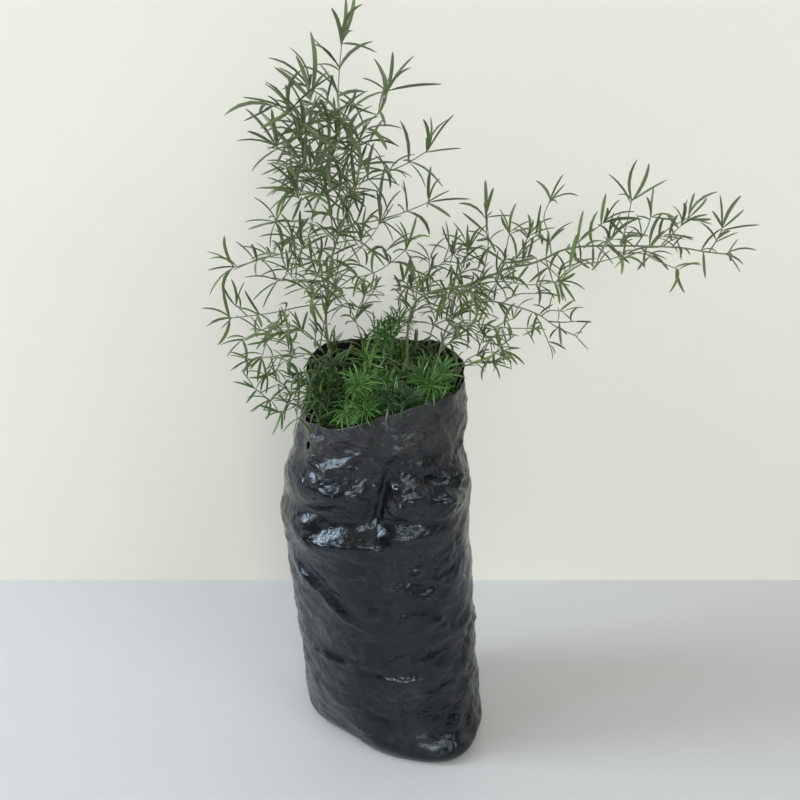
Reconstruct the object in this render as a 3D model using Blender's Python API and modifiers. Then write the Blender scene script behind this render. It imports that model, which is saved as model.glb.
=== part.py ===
"""A potted asparagus fern of the open, trailing form, in a black film nursery bag.

Metres, +Z up, the origin at the middle of the bag's flat underside, which rests on z = 0. The viewing side
is -Y, and the long arching stem reaches towards +X. The bag, the soil and each leafy stem, spray or shoot
are one solid each. Routes of stems, and heights and sizes of the bag's form, are written in millimetres.
"""

import math
import random

import bmesh
import bpy
import numpy as np
from mathutils import Matrix, Vector

MM = 0.001
WELD = 0.01 * MM
COLLECTION_NAME = "asparagus_fern_in_bag"

# The bag: an oval tube that leans a little, with its long axis turned towards the front right.
FILM = 0.8 * MM
SIDES = 24
SECTION_HEIGHTS = [0, 5, 18, 45, 110, 150, 175, 196, 216, 240, 275]
CENTRE_X = [0, 0, -1.5, -3.5, -9, -12, -13.5, -12, -9.5, -6, -6]
CENTRE_Y = [0, 0, 0, 0, 1, 1, 1, 0, 0, 0, 0]
LONG_HALF = [62, 66, 67, 66, 66, 66, 67, 64, 57.5, 54.5, 53.5]
SHORT_HALF = [53, 57, 57.5, 57.5, 58.5, 59.5, 60.5, 59, 53.5, 50.5, 49.5]
TURN = [-35, -35, -35, -33, -30, -28, -26, -24, -20, -15, -12]
RING_HEIGHTS = [0, 5, 18, 60, 105, 134, 150, 160, 170, 182, 193, 203, 216]
RIM_STEPS = 2
RIM_ANGLES = [0, 25, 90, 150, 172, 186, 212, 236, 252, 270, 300, 340, 360]
RIM_HEIGHTS = [264, 271, 270, 271, 262, 241, 239, 243, 249, 256, 261, 262, 264]

# Dents and swellings of the film: angle, height, half width in degrees and in mm, and how far it stands out.
FILM_FORMS = [
    (237, 182, 42, 9, -6.5),
    (268, 194, 12, 20, -8.0),
    (312, 192, 28, 14, 3.0),
    (212, 203, 28, 9, 2.0),
    (237, 162, 58, 8, 2.5),
    (150, 180, 35, 12, -4.0),
    (60, 172, 45, 9, -4.0),
    (20, 120, 20, 25, 1.5),
    (250, 90, 40, 10, -1.5),
    (300, 45, 35, 12, -1.5),
    (303, 2, 25, 18, 11.0),
    (228, 0, 26, 22, -8.0),
    (140, 2, 28, 18, 5.0),
]
PUNCHED_RADIUS = 2.5 * MM
PUNCH_SIDES = 10
PUNCH_LENGTH = 12 * MM
PUNCHED_HOLES = [(210, 224)]

# The soil stands a little inside the film, and the stems stand in plain holes in it.
SOIL_GAP = 1.7 * MM
SOIL_RINGS = [1.7, 5, 18, 60, 105, 134, 150, 158]
SOIL_CROWN = 163
SOIL_CROWN_SHARE = 0.6
SOIL_MIDDLE = 165.5
HOLE_FLOOR = 150
FOOT = 150.6
HOLE_GAP = 0.8 * MM
HOLE_SIDES = 6
HOLE_CUTTER_LENGTH = 40 * MM

# Plants: sizes that every stem and cladode shares.
ROUTE_STEP = 16 * MM
SPRAY_STEP = 22 * MM
STEM_SIDES = 4
SPRAY_SIDES = 3
SPRAY_RADIUS = 0.8
SPRAY_TIP = 0.5
STEM_TIP = 0.4
CLADODE_WIDTH = 1.2 * MM
CLADODE_WIDENING = 0.055
CLADODE_KEEL = 1.0 * MM
CLADODE_BELLY = 0.45
CLADODE_LEAN = (52, 92)
TIP_LEAN = (14, 80)
TIP_SHARE = 1.05
UPWARD = 0.07
SIDE_BY_SIDE = 1.3 * MM
BARE_START = 8 * MM
EXTRA_LEAN = (45, 65)
EXTRA_END = 0.94
EXTRA_ARCH = 0.8 * MM
GROWTH_HEIGHTS = [330, 430]
GROWTH_SHARES = [0.85, 1.25]
GOLDEN_ANGLE = math.radians(137.5)
CLEAR_OF_OTHERS = 2.8 * MM
CLEAR_OF_OWN = 2.3 * MM
CLEAR_OF_CLUSTER = 1.5 * MM
CLEAR_OF_FILM = 2.0 * MM
SOIL_CLEAR = 172
TRIES = 9
TURN_STEP = 0.7
SAMPLES = 14

# Each plant: the foot in the soil, the route above it, the stem's radius, its material, its seed, how far up
# the stem the leaves start, the spacing of the clusters, the cladodes in each and their least and greatest
# length, then how many short sprays a rule adds, with their lengths, and the side sprays placed by eye.
PLANTS = {
    "stem_upright": {
        "foot": (-20, 14),
        "route": [(-26, 18, 200), (-39, 24, 248), (-45, 26, 285), (-44, 27, 305), (-42, 26, 326),
                  (-38, 24, 342), (-30, 20, 365), (-24, 18, 381), (-21, 16, 397), (-21, 16, 410),
                  (-26, 14, 423), (-34, 12, 430), (-44, 10, 439), (-51, 8, 443)],
        "radius": 1.5, "material": "foliage", "seed": 11, "leafy_from": 0.5, "spacing": 15,
        "cluster": 2, "blade": (16, 26), "extra": (5, 16, 28),
        "sprays": [
            [(-30, 20, 365), (-29, 28, 397), (-30, 30, 418), (-34, 30, 433), (-33, 27, 450), (-31, 26, 468)],
            [(-21, 16, 411), (-14, 8, 424), (-7, 2, 431), (-3, -4, 443)],
            [(-21, 16, 411), (-14, 25, 406), (-9, 32, 399), (-5, 36, 388)],
            [(-23, 18, 383), (-13, 12, 389), (6, 4, 398), (21, -2, 408)],
            [(-33, 22, 356), (-12, 16, 361), (6, 8, 368), (22, 2, 376)],
            [(-42, 26, 326), (-32, 36, 329), (-17, 50, 340), (-9, 54, 351)],
            [(-42, 26, 326), (-25, 10, 326), (-8, -8, 336), (8, -20, 352)],
            [(-38, 24, 342), (-40, 10, 371), (-45, 2, 392), (-50, -8, 414), (-60, -14, 434)],
            [(-45, 2, 392), (-54, -6, 400), (-69, -16, 413)],
            [(-37, 24, 345), (-49, 34, 353), (-61, 42, 354), (-79, 52, 352)],
            [(-39, 24, 340), (-55, 10, 345), (-73, -4, 344), (-98, -18, 340)],
            [(-42, 26, 322), (-56, 40, 310), (-64, 48, 309), (-73, 56, 318)],
            [(-44, 27, 303), (-61, 20, 303), (-79, 10, 302), (-104, -4, 303)],
            [(-24, 18, 380), (-37, 30, 384), (-60, 40, 395)],
            [(-27, 19, 373), (-39, 6, 379), (-58, -10, 386)],
            [(-22, 15, 406), (-32, 2, 408), (-52, -6, 419)],
            [(-41, 25, 332), (-55, 34, 331), (-82, 40, 331)],
            [(-43, 26, 313), (-52, 6, 325), (-72, -12, 330)],
        ],
    },
    "stem_arching": {
        "foot": (6, 8),
        "route": [(8, 9, 215), (9, 10, 255), (9, 10, 290), (14, 13, 308), (25, 14, 315), (36, 12, 318),
                  (49, 10, 321), (61, 8, 327), (73, 4, 334), (84, 0, 337), (94, -4, 342), (103, -8, 348),
                  (114, -10, 351), (126, -12, 352), (150, -16, 353), (173, -20, 353), (188, -22, 351),
                  (201, -24, 350)],
        "radius": 1.5, "material": "foliage", "seed": 23, "leafy_from": 0.42, "spacing": 15,
        "cluster": 2, "blade": (14, 24), "extra": (5, 14, 24),
        "sprays": [
            [(56, 9, 325), (60, 14, 347), (58, 18, 364)],
            [(68, 6, 332), (70, -6, 352), (71, -10, 361)],
            [(97, -6, 345), (96, 0, 356), (93, 4, 366), (97, 8, 376)],
            [(108, -9, 350), (118, -20, 362), (125, -26, 370)],
            [(138, -14, 353), (141, -12, 364), (144, -8, 380)],
            [(147, -16, 353), (150, -26, 365), (151, -32, 375)],
            [(156, -17, 353), (167, -8, 361), (182, 0, 367)],
            [(108, -10, 350), (112, -20, 344), (123, -30, 347), (137, -36, 353)],
            [(49, 10, 321), (66, -10, 329), (83, -24, 331), (100, -34, 336)],
            [(14, 13, 308), (17, 30, 320), (30, 38, 326), (40, 40, 334)],
            [(30, 13, 317), (39, -4, 319), (50, -16, 324)],
            [(36, 12, 318), (44, 22, 328), (49, 28, 340)],
            [(73, 4, 334), (80, 14, 341), (86, 20, 350)],
            [(190, -22, 351), (194, -24, 360), (196, -24, 367)],
            [(150, -16, 353), (155, -24, 348), (171, -30, 342)],
            [(9, 11, 296), (14, 0, 312), (10, -10, 326)],
        ],
    },
    "stem_trailing": {
        "foot": (20, -2),
        "route": [(23, 2, 215), (28, 10, 262), (36, 17, 292), (56, 20, 306), (76, 24, 303), (95, 26, 296),
                  (108, 26, 287), (122, 24, 281)],
        "radius": 1.2, "material": "foliage", "seed": 35, "leafy_from": 0.48, "spacing": 15,
        "cluster": 2, "blade": (11, 19), "extra": (3, 14, 24),
        "sprays": [
            [(48, 19, 301), (58, 30, 308), (72, 38, 310)],
            [(70, 23, 304), (80, 18, 312), (94, 14, 314)],
            [(97, 26, 294), (104, 34, 296), (114, 38, 294)],
            [(102, 26, 291), (110, 18, 293), (118, 14, 295)],
        ],
    },
    "stem_low_right": {
        "foot": (14, -12),
        "route": [(18, -12, 215), (24, -10, 255), (30, -10, 285), (40, -12, 302), (56, -18, 303),
                  (70, -23, 303), (84, -27, 304)],
        "radius": 1.0, "material": "foliage", "seed": 41, "leafy_from": 0.6, "spacing": 14,
        "cluster": 2, "blade": (12, 20), "extra": (3, 12, 22),
        "sprays": [
            [(46, -14, 302), (54, -24, 296), (66, -32, 294)],
        ],
    },
    "spray_left_upper": {
        "foot": (-29, 10),
        "route": [(-33, 12, 200), (-40, 15, 248), (-47, 15, 274), (-58, 9, 290), (-69, 4, 296),
                  (-82, -4, 296), (-96, -12, 291)],
        "radius": 1.1, "material": "foliage", "seed": 53, "leafy_from": 0.62, "spacing": 14,
        "cluster": 2, "blade": (14, 22), "extra": (3, 14, 24),
        "sprays": [
            [(-53, 12, 284), (-66, 20, 289), (-80, 26, 286)],
        ],
    },
    "spray_left_middle": {
        "foot": (-22, 4),
        "route": [(-28, 4, 200), (-40, 4, 250), (-50, 0, 274), (-62, -6, 280), (-76, -14, 281),
                  (-92, -20, 281)],
        "radius": 1.0, "material": "foliage", "seed": 61, "leafy_from": 0.62, "spacing": 14,
        "cluster": 2, "blade": (12, 20), "extra": (3, 12, 20),
        "sprays": [],
    },
    "spray_left_lower": {
        "foot": (-20, -8),
        "route": [(-26, -12, 200), (-38, -18, 236), (-48, -22, 254), (-58, -26, 261), (-68, -30, 261),
                  (-78, -34, 259)],
        "radius": 1.0, "material": "foliage", "seed": 72, "leafy_from": 0.6, "spacing": 14,
        "cluster": 2, "blade": (12, 19), "extra": (2, 12, 18),
        "sprays": [
            [(-48, -22, 254), (-57, -34, 257), (-70, -42, 254)],
        ],
    },
    "spray_right": {
        "foot": (26, 6),
        "route": [(32, 6, 215), (40, 4, 255), (47, 2, 272), (58, -2, 279), (69, -6, 281)],
        "radius": 1.0, "material": "foliage", "seed": 83, "leafy_from": 0.66, "spacing": 14,
        "cluster": 2, "blade": (10, 17), "extra": (3, 12, 18),
        "sprays": [],
    },
    "shoot_young_front": {
        "foot": (-12, -14),
        "route": [(-14, -20, 205), (-18, -28, 238), (-23, -35, 257), (-28, -43, 262), (-30, -52, 259)],
        "radius": 0.9, "material": "young_foliage", "seed": 91, "leafy_from": 0.64, "spacing": 12,
        "cluster": 3, "blade": (12, 19), "extra": (3, 10, 16),
        "sprays": [],
    },
    "shoot_young_middle": {
        "foot": (-6, -6),
        "route": [(-8, -8, 210), (-11, -12, 245), (-14, -15, 268), (-17, -20, 281)],
        "radius": 0.9, "material": "young_foliage", "seed": 97, "leafy_from": 0.66, "spacing": 11,
        "cluster": 3, "blade": (12, 19), "extra": (3, 10, 18),
        "sprays": [],
    },
    "shoot_young_rear": {
        "foot": (-4, 18),
        "route": [(-4, 20, 210), (-3, 24, 245), (-1, 22, 275), (0, 20, 292)],
        "radius": 0.9, "material": "young_foliage", "seed": 104, "leafy_from": 0.64, "spacing": 11,
        "cluster": 3, "blade": (12, 19), "extra": (3, 10, 18),
        "sprays": [],
    },
    "shoot_young_right": {
        "foot": (12, -22),
        "route": [(15, -24, 210), (21, -27, 240), (27, -28, 262), (31, -30, 276)],
        "radius": 0.9, "material": "young_foliage", "seed": 109, "leafy_from": 0.66, "spacing": 11,
        "cluster": 3, "blade": (12, 19), "extra": (3, 10, 18),
        "sprays": [],
    },
    "spray_mouth_left": {
        "foot": (-32, -4),
        "route": [(-36, -8, 205), (-42, -12, 232), (-45, -11, 258)],
        "radius": 0.9, "material": "foliage", "seed": 128, "leafy_from": 0.66, "spacing": 12,
        "cluster": 3, "blade": (11, 18), "extra": (3, 10, 16),
        "sprays": [],
    },
    "spray_mouth_front": {
        "foot": (0, -24),
        "route": [(0, -30, 205), (3, -36, 234), (6, -40, 262)],
        "radius": 0.9, "material": "foliage", "seed": 131, "leafy_from": 0.66, "spacing": 12,
        "cluster": 3, "blade": (11, 18), "extra": (3, 10, 16),
        "sprays": [],
    },
    "spray_rear_left": {
        "foot": (-12, 30),
        "route": [(-15, 32, 210), (-19, 35, 250), (-23, 39, 277), (-30, 50, 292), (-38, 66, 301),
                  (-44, 84, 303)],
        "radius": 1.0, "material": "foliage", "seed": 139, "leafy_from": 0.55, "spacing": 14,
        "cluster": 2, "blade": (13, 21), "extra": (3, 12, 20),
        "sprays": [
            [(-27, 45, 286), (-20, 58, 294), (-14, 72, 298)],
        ],
    },
    "spray_rear_right": {
        "foot": (16, 24),
        "route": [(18, 27, 210), (21, 30, 250), (24, 33, 277), (31, 44, 291), (42, 60, 298), (52, 74, 297)],
        "radius": 1.0, "material": "foliage", "seed": 149, "leafy_from": 0.55, "spacing": 14,
        "cluster": 2, "blade": (13, 21), "extra": (3, 12, 20),
        "sprays": [
            [(28, 40, 287), (24, 56, 293), (20, 72, 297)],
        ],
    },
}

# Colour, roughness and metallic value of each material.
MATERIALS = {
    "film": ((0.022, 0.022, 0.027, 1.0), 0.3, 0.0),
    "soil": ((0.06, 0.04, 0.028, 1.0), 0.95, 0.0),
    "foliage": ((0.06, 0.14, 0.045, 1.0), 0.5, 0.0),
    "young_foliage": ((0.10, 0.26, 0.04, 1.0), 0.45, 0.0),
}


def clear_scene():
    for found in list(bpy.data.objects):
        bpy.data.objects.remove(found)


def make_material(name):
    colour, roughness, metallic = MATERIALS[name]
    material = bpy.data.materials.new(name)
    material.use_nodes = True
    shader = material.node_tree.nodes["Principled BSDF"]
    shader.inputs["Base Color"].default_value = colour
    shader.inputs["Roughness"].default_value = roughness
    shader.inputs["Metallic"].default_value = metallic
    material.diffuse_color = colour
    return material


def make_collection(name):
    made = bpy.data.collections.new(name)
    bpy.context.scene.collection.children.link(made)
    return made


def link_mesh(name, mesh, collection):
    made = bpy.data.objects.new(name, mesh)
    collection.objects.link(made)
    return made


def evaluated_mesh(source):
    """The object's mesh as its modifiers leave it."""
    graph = bpy.context.evaluated_depsgraph_get()
    return bpy.data.meshes.new_from_object(source.evaluated_get(graph))


def apply_modifiers(source):
    """The modifiers' result becomes the object's own mesh."""
    mesh = evaluated_mesh(source)
    source.modifiers.clear()
    source.data = mesh


def metres(point):
    return Vector(point) * MM


# The bag's form

def section_at(height):
    """Centre, half axes and turn of the oval at a height in mm."""
    rows = (CENTRE_X, CENTRE_Y, LONG_HALF, SHORT_HALF, TURN)
    values = [np.interp(height, SECTION_HEIGHTS, row) for row in rows]
    return (*values[:4], math.radians(values[4]))


def film_relief(angle, height):
    """How far the film stands out from the plain oval, in mm, at an angle in degrees and a height in mm."""
    relief = 0.0
    for form_angle, form_height, half_angle, half_height, depth in FILM_FORMS:
        off = (angle - form_angle + 180) % 360 - 180
        relief += depth * math.exp(-((off / half_angle) ** 2) - ((height - form_height) / half_height) ** 2)
    return relief


def film_point(angle, height, inset=0.0):
    """A point of the film's outer face, in metres, or one that lies inset metres inside it."""
    x, y, long_half, short_half, turn = section_at(height)
    around = math.radians(angle) - turn
    out = Vector((long_half * math.cos(around), short_half * math.sin(around), 0))
    out *= 1 + (film_relief(angle, height) - inset / MM) / out.length
    return (Vector((x, y, height)) + Matrix.Rotation(turn, 3, "Z") @ out) * MM


def rim_height(angle):
    return float(np.interp(angle % 360, RIM_ANGLES, RIM_HEIGHTS))


def film_heights(angle):
    """The heights of the film's rings at one angle: level ones, then the ones that rise to the uneven rim."""
    level = RING_HEIGHTS[-1]
    rise = rim_height(angle) - level
    return RING_HEIGHTS + [level + rise * (k + 1) / RIM_STEPS for k in range(RIM_STEPS)]


def loft(rings, end_point=None):
    """A mesh through rings of points of equal count, closed below, and above where an end point is given."""
    made = bmesh.new()
    rows = [[made.verts.new(point) for point in ring] for ring in rings]
    count = len(rows[0])
    for low, high in zip(rows, rows[1:]):
        for k in range(count):
            made.faces.new((low[k], low[(k + 1) % count], high[(k + 1) % count], high[k]))
    made.faces.new(list(reversed(rows[0])))
    if end_point is not None:
        top = made.verts.new(end_point)
        for k in range(count):
            made.faces.new((rows[-1][k], rows[-1][(k + 1) % count], top))
    mesh = bpy.data.meshes.new("loft")
    made.to_mesh(mesh)
    made.free()
    return mesh


def side_angles():
    return [360 * k / SIDES for k in range(SIDES)]


def make_bag(parts, cutters):
    """The film: an open surface with a flat base, thickened inwards, with its punched holes."""
    columns = [[film_point(angle, height) for height in film_heights(angle)] for angle in side_angles()]
    rings = list(zip(*columns))
    bag = link_mesh("grow_bag", loft(rings), parts)
    thicken = bag.modifiers.new("film", "SOLIDIFY")
    thicken.thickness = FILM
    thicken.offset = -1
    thicken.use_even_offset = True
    for angle, height in PUNCHED_HOLES:
        cut_hole(bag, punch_at(angle, height, cutters))
    return bag


def make_cylinder(name, radius, length, sides, collection):
    made = bmesh.new()
    bmesh.ops.create_cone(made, cap_ends=True, segments=sides, radius1=radius, radius2=radius, depth=length)
    mesh = bpy.data.meshes.new(name)
    made.to_mesh(mesh)
    made.free()
    return link_mesh(name, mesh, collection)


def punch_at(angle, height, cutters):
    """A cylinder through the film, square to it."""
    punch = make_cylinder(f"punch_{angle}", PUNCHED_RADIUS, PUNCH_LENGTH, PUNCH_SIDES, cutters)
    outwards = film_point(angle, height) - film_point(angle, height, 10 * MM)
    punch.location = film_point(angle, height)
    punch.rotation_euler = outwards.to_track_quat("Z", "Y").to_euler()
    return punch


def cut_hole(target, cutter):
    cutter.hide_render = True
    cutter.display_type = "WIRE"
    cut = target.modifiers.new("cut", "BOOLEAN")
    cut.operation = "DIFFERENCE"
    cut.object = cutter


def make_soil(parts, cutters):
    """The soil: it follows the film's inside, rises a little to the middle and has a hole for each stem."""
    rings = [[film_point(angle, height, SOIL_GAP) for angle in side_angles()] for height in SOIL_RINGS]
    middle = metres((*section_at(SOIL_RINGS[-1])[:2], SOIL_MIDDLE))
    crown = [middle.lerp(point, SOIL_CROWN_SHARE) for point in rings[-1]]
    rings.append([Vector((point.x, point.y, SOIL_CROWN * MM)) for point in crown])
    soil = link_mesh("soil", loft(rings, middle), parts)
    for name, plant in PLANTS.items():
        radius = plant["radius"] * MM + HOLE_GAP
        hole = make_cylinder(f"hole_{name}", radius, HOLE_CUTTER_LENGTH, HOLE_SIDES, cutters)
        hole.location = metres((*plant["foot"], HOLE_FLOOR))
        hole.location.z += HOLE_CUTTER_LENGTH / 2
        cut_hole(soil, hole)
    return soil


# Growth: routes, sprays and cladodes

def smooth_route(points, step):
    """Points about a step apart on one smooth curve through the given ones."""
    ends = [2 * points[0] - points[1], *points, 2 * points[-1] - points[-2]]
    line = []
    for before, start, end, after in zip(ends, ends[1:], ends[2:], ends[3:]):
        count = max(1, round((end - start).length / step))
        for k in range(count):
            t = k / count
            point = 2 * start + (end - before) * t
            point += (2 * before - 5 * start + 4 * end - after) * t**2
            point += (3 * start - before - 3 * end + after) * t**3
            line.append(point / 2)
    line.append(points[-1])
    return line


def nearest_on(lines, point):
    """The point of these polylines that is nearest to the given one."""
    best = None
    for line in lines:
        for a, b in zip(line, line[1:]):
            share = max(0.0, min(1.0, (point - a).dot(b - a) / (b - a).length_squared))
            found = a + (b - a) * share
            if best is None or (found - point).length < (best - point).length:
                best = found
    return best


def along(line, distance):
    """The point and the direction at a distance along a polyline."""
    for a, b in zip(line, line[1:]):
        length = (b - a).length
        if distance <= length:
            return a + (b - a) * (distance / length), (b - a).normalized()
        distance -= length
    return line[-1].copy(), (line[-1] - line[-2]).normalized()


def length_of(line):
    return sum((b - a).length for a, b in zip(line, line[1:]))


def leaning(direction, lean, roll):
    """A direction that leans from the given one by an angle, turned about it by the roll."""
    side = direction.orthogonal().normalized()
    side.rotate(Matrix.Rotation(roll, 3, direction))
    return direction * math.cos(lean) + side * math.sin(lean)


def clear_of_bag(point):
    """True where a point keeps its distance from the film and the soil."""
    height = point.z / MM
    x, y, long_half, short_half, turn = section_at(height)
    offset = Matrix.Rotation(-turn, 3, "Z") @ Vector((point.x / MM - x, point.y / MM - y, 0))
    angle = math.degrees(math.atan2(offset.y / short_half, offset.x / long_half) + turn)
    if height > rim_height(angle) + CLEAR_OF_FILM / MM:
        return True
    if height < SOIL_CLEAR:
        return False
    film = (film_point(angle, height) - metres((x, y, height))).length
    here = (point - metres((x, y, height))).length
    return here > film + CLEAR_OF_FILM or here < film - FILM - CLEAR_OF_FILM


class Grown:
    """What has grown so far, as straight pieces, so that new growth can keep clear of it."""

    def __init__(self):
        self.starts = []
        self.ends = []
        self.owners = []
        self.clusters = []

    def add(self, owner, line, cluster=None):
        for a, b in zip(line, line[1:]):
            self.starts.append(tuple(a))
            self.ends.append(tuple(b))
            self.owners.append(owner)
            self.clusters.append(cluster)

    def gaps(self, points):
        """The distance of each point from each piece."""
        starts = np.array(self.starts)
        spans = np.array(self.ends) - starts
        offsets = np.array([tuple(point) for point in points])[:, None, :] - starts[None]
        share = np.clip((offsets * spans).sum(-1) / (spans * spans).sum(-1), 0, 1)
        return np.linalg.norm(offsets - share[..., None] * spans, axis=-1)

    def clear(self, owner, start, end, cluster=None):
        """True where a straight piece from start to end keeps clear of all but the line it grows from."""
        points = [start.lerp(end, k / SAMPLES) for k in range(SAMPLES + 1)]
        if not all(clear_of_bag(point) for point in points[2:]):
            return False
        own = np.array([name == owner for name in self.owners])
        beside = np.array([found is not None and found == cluster for found in self.clusters]) & own
        gaps = self.gaps(points)
        carries = own & (gaps[0] < CLEAR_OF_CLUSTER) & ~beside
        for kind, first, least in (
            (~own, 0, CLEAR_OF_OTHERS),
            (beside, 5, CLEAR_OF_CLUSTER),
            (carries, 5, CLEAR_OF_CLUSTER),
            (own & ~beside & ~carries, 2, CLEAR_OF_OWN),
        ):
            if kind.any() and gaps[first:, kind].min() < least:
                return False
        return True


def grow_axes(name, plant, grown):
    """The stem's line and the lines of its side sprays, the ones placed by eye first."""
    foot = [metres((*plant["foot"], FOOT)), metres((*plant["foot"], SOIL_CLEAR))]
    stem = smooth_route(foot + [metres(point) for point in plant["route"]], ROUTE_STEP)
    lines = [stem]
    for route in plant["sprays"]:
        points = [metres(point) for point in route]
        points[0] = nearest_on(lines, points[0])
        lines.append(smooth_route(points, SPRAY_STEP))
    for line in lines:
        grown.add(name, line)
    return lines


def grow_extra_sprays(name, plant, lines, grown):
    """Short straight sprays around the leafy part of the stem, where there is room."""
    count, shortest, longest = plant["extra"]
    chance = random.Random(plant["seed"])
    stem = lines[0]
    whole = length_of(stem)
    for k in range(count):
        share = plant["leafy_from"] + (EXTRA_END - plant["leafy_from"]) * (k + 0.5) / count
        start, direction = along(stem, share * whole)
        for turn in range(TRIES):
            lean = math.radians(chance.uniform(*EXTRA_LEAN))
            heading = leaning(direction, lean, GOLDEN_ANGLE * (2 * k + turn))
            end = start + heading * chance.uniform(shortest, longest) * MM
            if grown.clear(name, start.lerp(end, 0.2), end):
                lines.append([start, start.lerp(end, 0.5) + Vector((0, 0, EXTRA_ARCH)), end])
                grown.add(name, lines[-1])
                break


def growth_at(point):
    """How much longer or shorter cladodes grow at a point's height: those near the top are the longest."""
    return float(np.interp(point.z / MM, GROWTH_HEIGHTS, GROWTH_SHARES))


def grow_cladodes(name, plant, lines, grown):
    """Clusters of cladodes along each line, and a star of them at its tip."""
    chance = random.Random(plant["seed"] + 1)
    cladodes = []
    for number, line in enumerate(lines):
        whole = length_of(line)
        first = plant["leafy_from"] * whole if number == 0 else BARE_START
        spots = max(1, int((whole - first) / (plant["spacing"] * MM)))
        for spot in range(spots + 1):
            at_tip = spot == spots
            middle = whole if at_tip else first + (whole - first) * spot / spots
            in_cluster = plant["cluster"] + (1 if at_tip else 0)
            for k in range(in_cluster):
                step = (k + 0.2) * SIDE_BY_SIDE
                start, direction = along(line, middle - step if at_tip else middle + step)
                for turn in range(TRIES):
                    lean = chance.uniform(*(TIP_LEAN if at_tip else CLADODE_LEAN))
                    roll = GOLDEN_ANGLE * (spot * 2 + k) + number + turn * TURN_STEP
                    length = chance.uniform(*plant["blade"]) * growth_at(start) * (TIP_SHARE if at_tip else 1)
                    heading = leaning(direction, math.radians(lean), roll)
                    heading = (heading + Vector((0, 0, UPWARD))).normalized()
                    end = start + heading * length * MM
                    if grown.clear(name, start, end, (number, spot)):
                        cladodes.append((start, end))
                        grown.add(name, [start, end], (number, spot))
                        break
    return cladodes


def make_profile(sides, collection):
    """A closed outline with a radius of one millimetre, for the curves of stems and sprays to sweep."""
    curve = bpy.data.curves.new(f"profile_{sides}", "CURVE")
    spline = curve.splines.new("POLY")
    spline.points.add(sides - 1)
    for k, target in enumerate(spline.points):
        around = 2 * math.pi * k / sides
        target.co = (math.cos(around) * MM, math.sin(around) * MM, 0, 1)
    spline.use_cyclic_u = True
    profile = bpy.data.objects.new(curve.name, curve)
    profile.hide_render = True
    profile.display_type = "WIRE"
    collection.objects.link(profile)
    return profile


def tube_object(line, radius, tip_share, profile, collection):
    """A tube that tapers along a line, made from a curve, its caps welded. The radius is in millimetres."""
    curve = bpy.data.curves.new("axis", "CURVE")
    curve.dimensions = "3D"
    curve.bevel_mode = "OBJECT"
    curve.bevel_object = profile
    curve.use_fill_caps = True
    spline = curve.splines.new("POLY")
    spline.points.add(len(line) - 1)
    for k, (target, point) in enumerate(zip(spline.points, line)):
        target.co = (*point, 1)
        target.radius = radius * (1 - (1 - tip_share) * k / (len(line) - 1))
    source = bpy.data.objects.new("axis", curve)
    collection.objects.link(source)
    made = bmesh.new()
    made.from_mesh(evaluated_mesh(source))
    bmesh.ops.remove_doubles(made, verts=made.verts, dist=WELD)
    bmesh.ops.recalc_face_normals(made, faces=made.faces)
    mesh = bpy.data.meshes.new("tube")
    made.to_mesh(mesh)
    made.free()
    bpy.data.objects.remove(source)
    bpy.data.curves.remove(curve)
    return link_mesh("tube", mesh, collection)


def cladode_object(start, end, collection):
    """A narrow keeled blade, pointed at both ends and widest just short of its middle."""
    heading = (end - start).normalized()
    side = heading.cross(Vector((0, 0, 1)))
    side = side.normalized() if side.length > 0.2 else Vector((1, 0, 0))
    width = CLADODE_WIDTH + CLADODE_WIDENING * (end - start).length
    belly = start.lerp(end, CLADODE_BELLY) + side.cross(heading).normalized() * CLADODE_KEEL
    corners = [start, belly + side * width / 2, belly - side * width / 2, end]
    made = bmesh.new()
    bmesh.ops.convex_hull(made, input=[made.verts.new(corner) for corner in corners])
    bmesh.ops.recalc_face_normals(made, faces=made.faces)
    mesh = bpy.data.meshes.new("cladode")
    made.to_mesh(mesh)
    made.free()
    return link_mesh("cladode", mesh, collection)


def largest_body(mesh):
    """The mesh without the loose scraps that fusing may leave."""
    made = bmesh.new()
    made.from_mesh(mesh)
    made.verts.ensure_lookup_table()
    unseen = set(made.verts)
    bodies = []
    while unseen:
        reached = {unseen.pop()}
        front = list(reached)
        while front:
            for edge in front.pop().link_edges:
                for vert in edge.verts:
                    if vert not in reached:
                        reached.add(vert)
                        front.append(vert)
        unseen -= reached
        bodies.append(reached)
    bodies.sort(key=len)
    for scrap in bodies[:-1]:
        bmesh.ops.delete(made, geom=list(scrap), context="VERTS")
    made.to_mesh(mesh)
    made.free()


def make_plant(name, plant, lines, cladodes, profiles, parts, repeats):
    """The stem fused with its side sprays and cladodes into one body."""
    stem = tube_object(lines[0], plant["radius"], STEM_TIP, profiles[0], parts)
    stem.name = name
    for line in lines[1:]:
        tube_object(line, SPRAY_RADIUS, SPRAY_TIP, profiles[1], repeats)
    for start, end in cladodes:
        cladode_object(start, end, repeats)
    fuse = stem.modifiers.new("fuse", "BOOLEAN")
    fuse.operation = "UNION"
    fuse.operand_type = "COLLECTION"
    fuse.collection = repeats
    apply_modifiers(stem)
    for used in list(repeats.objects):
        bpy.data.objects.remove(used)
    largest_body(stem.data)
    return stem


def give_material(made, material):
    made.data.materials.clear()
    made.data.materials.append(material)
    made.data.shade_flat()


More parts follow.
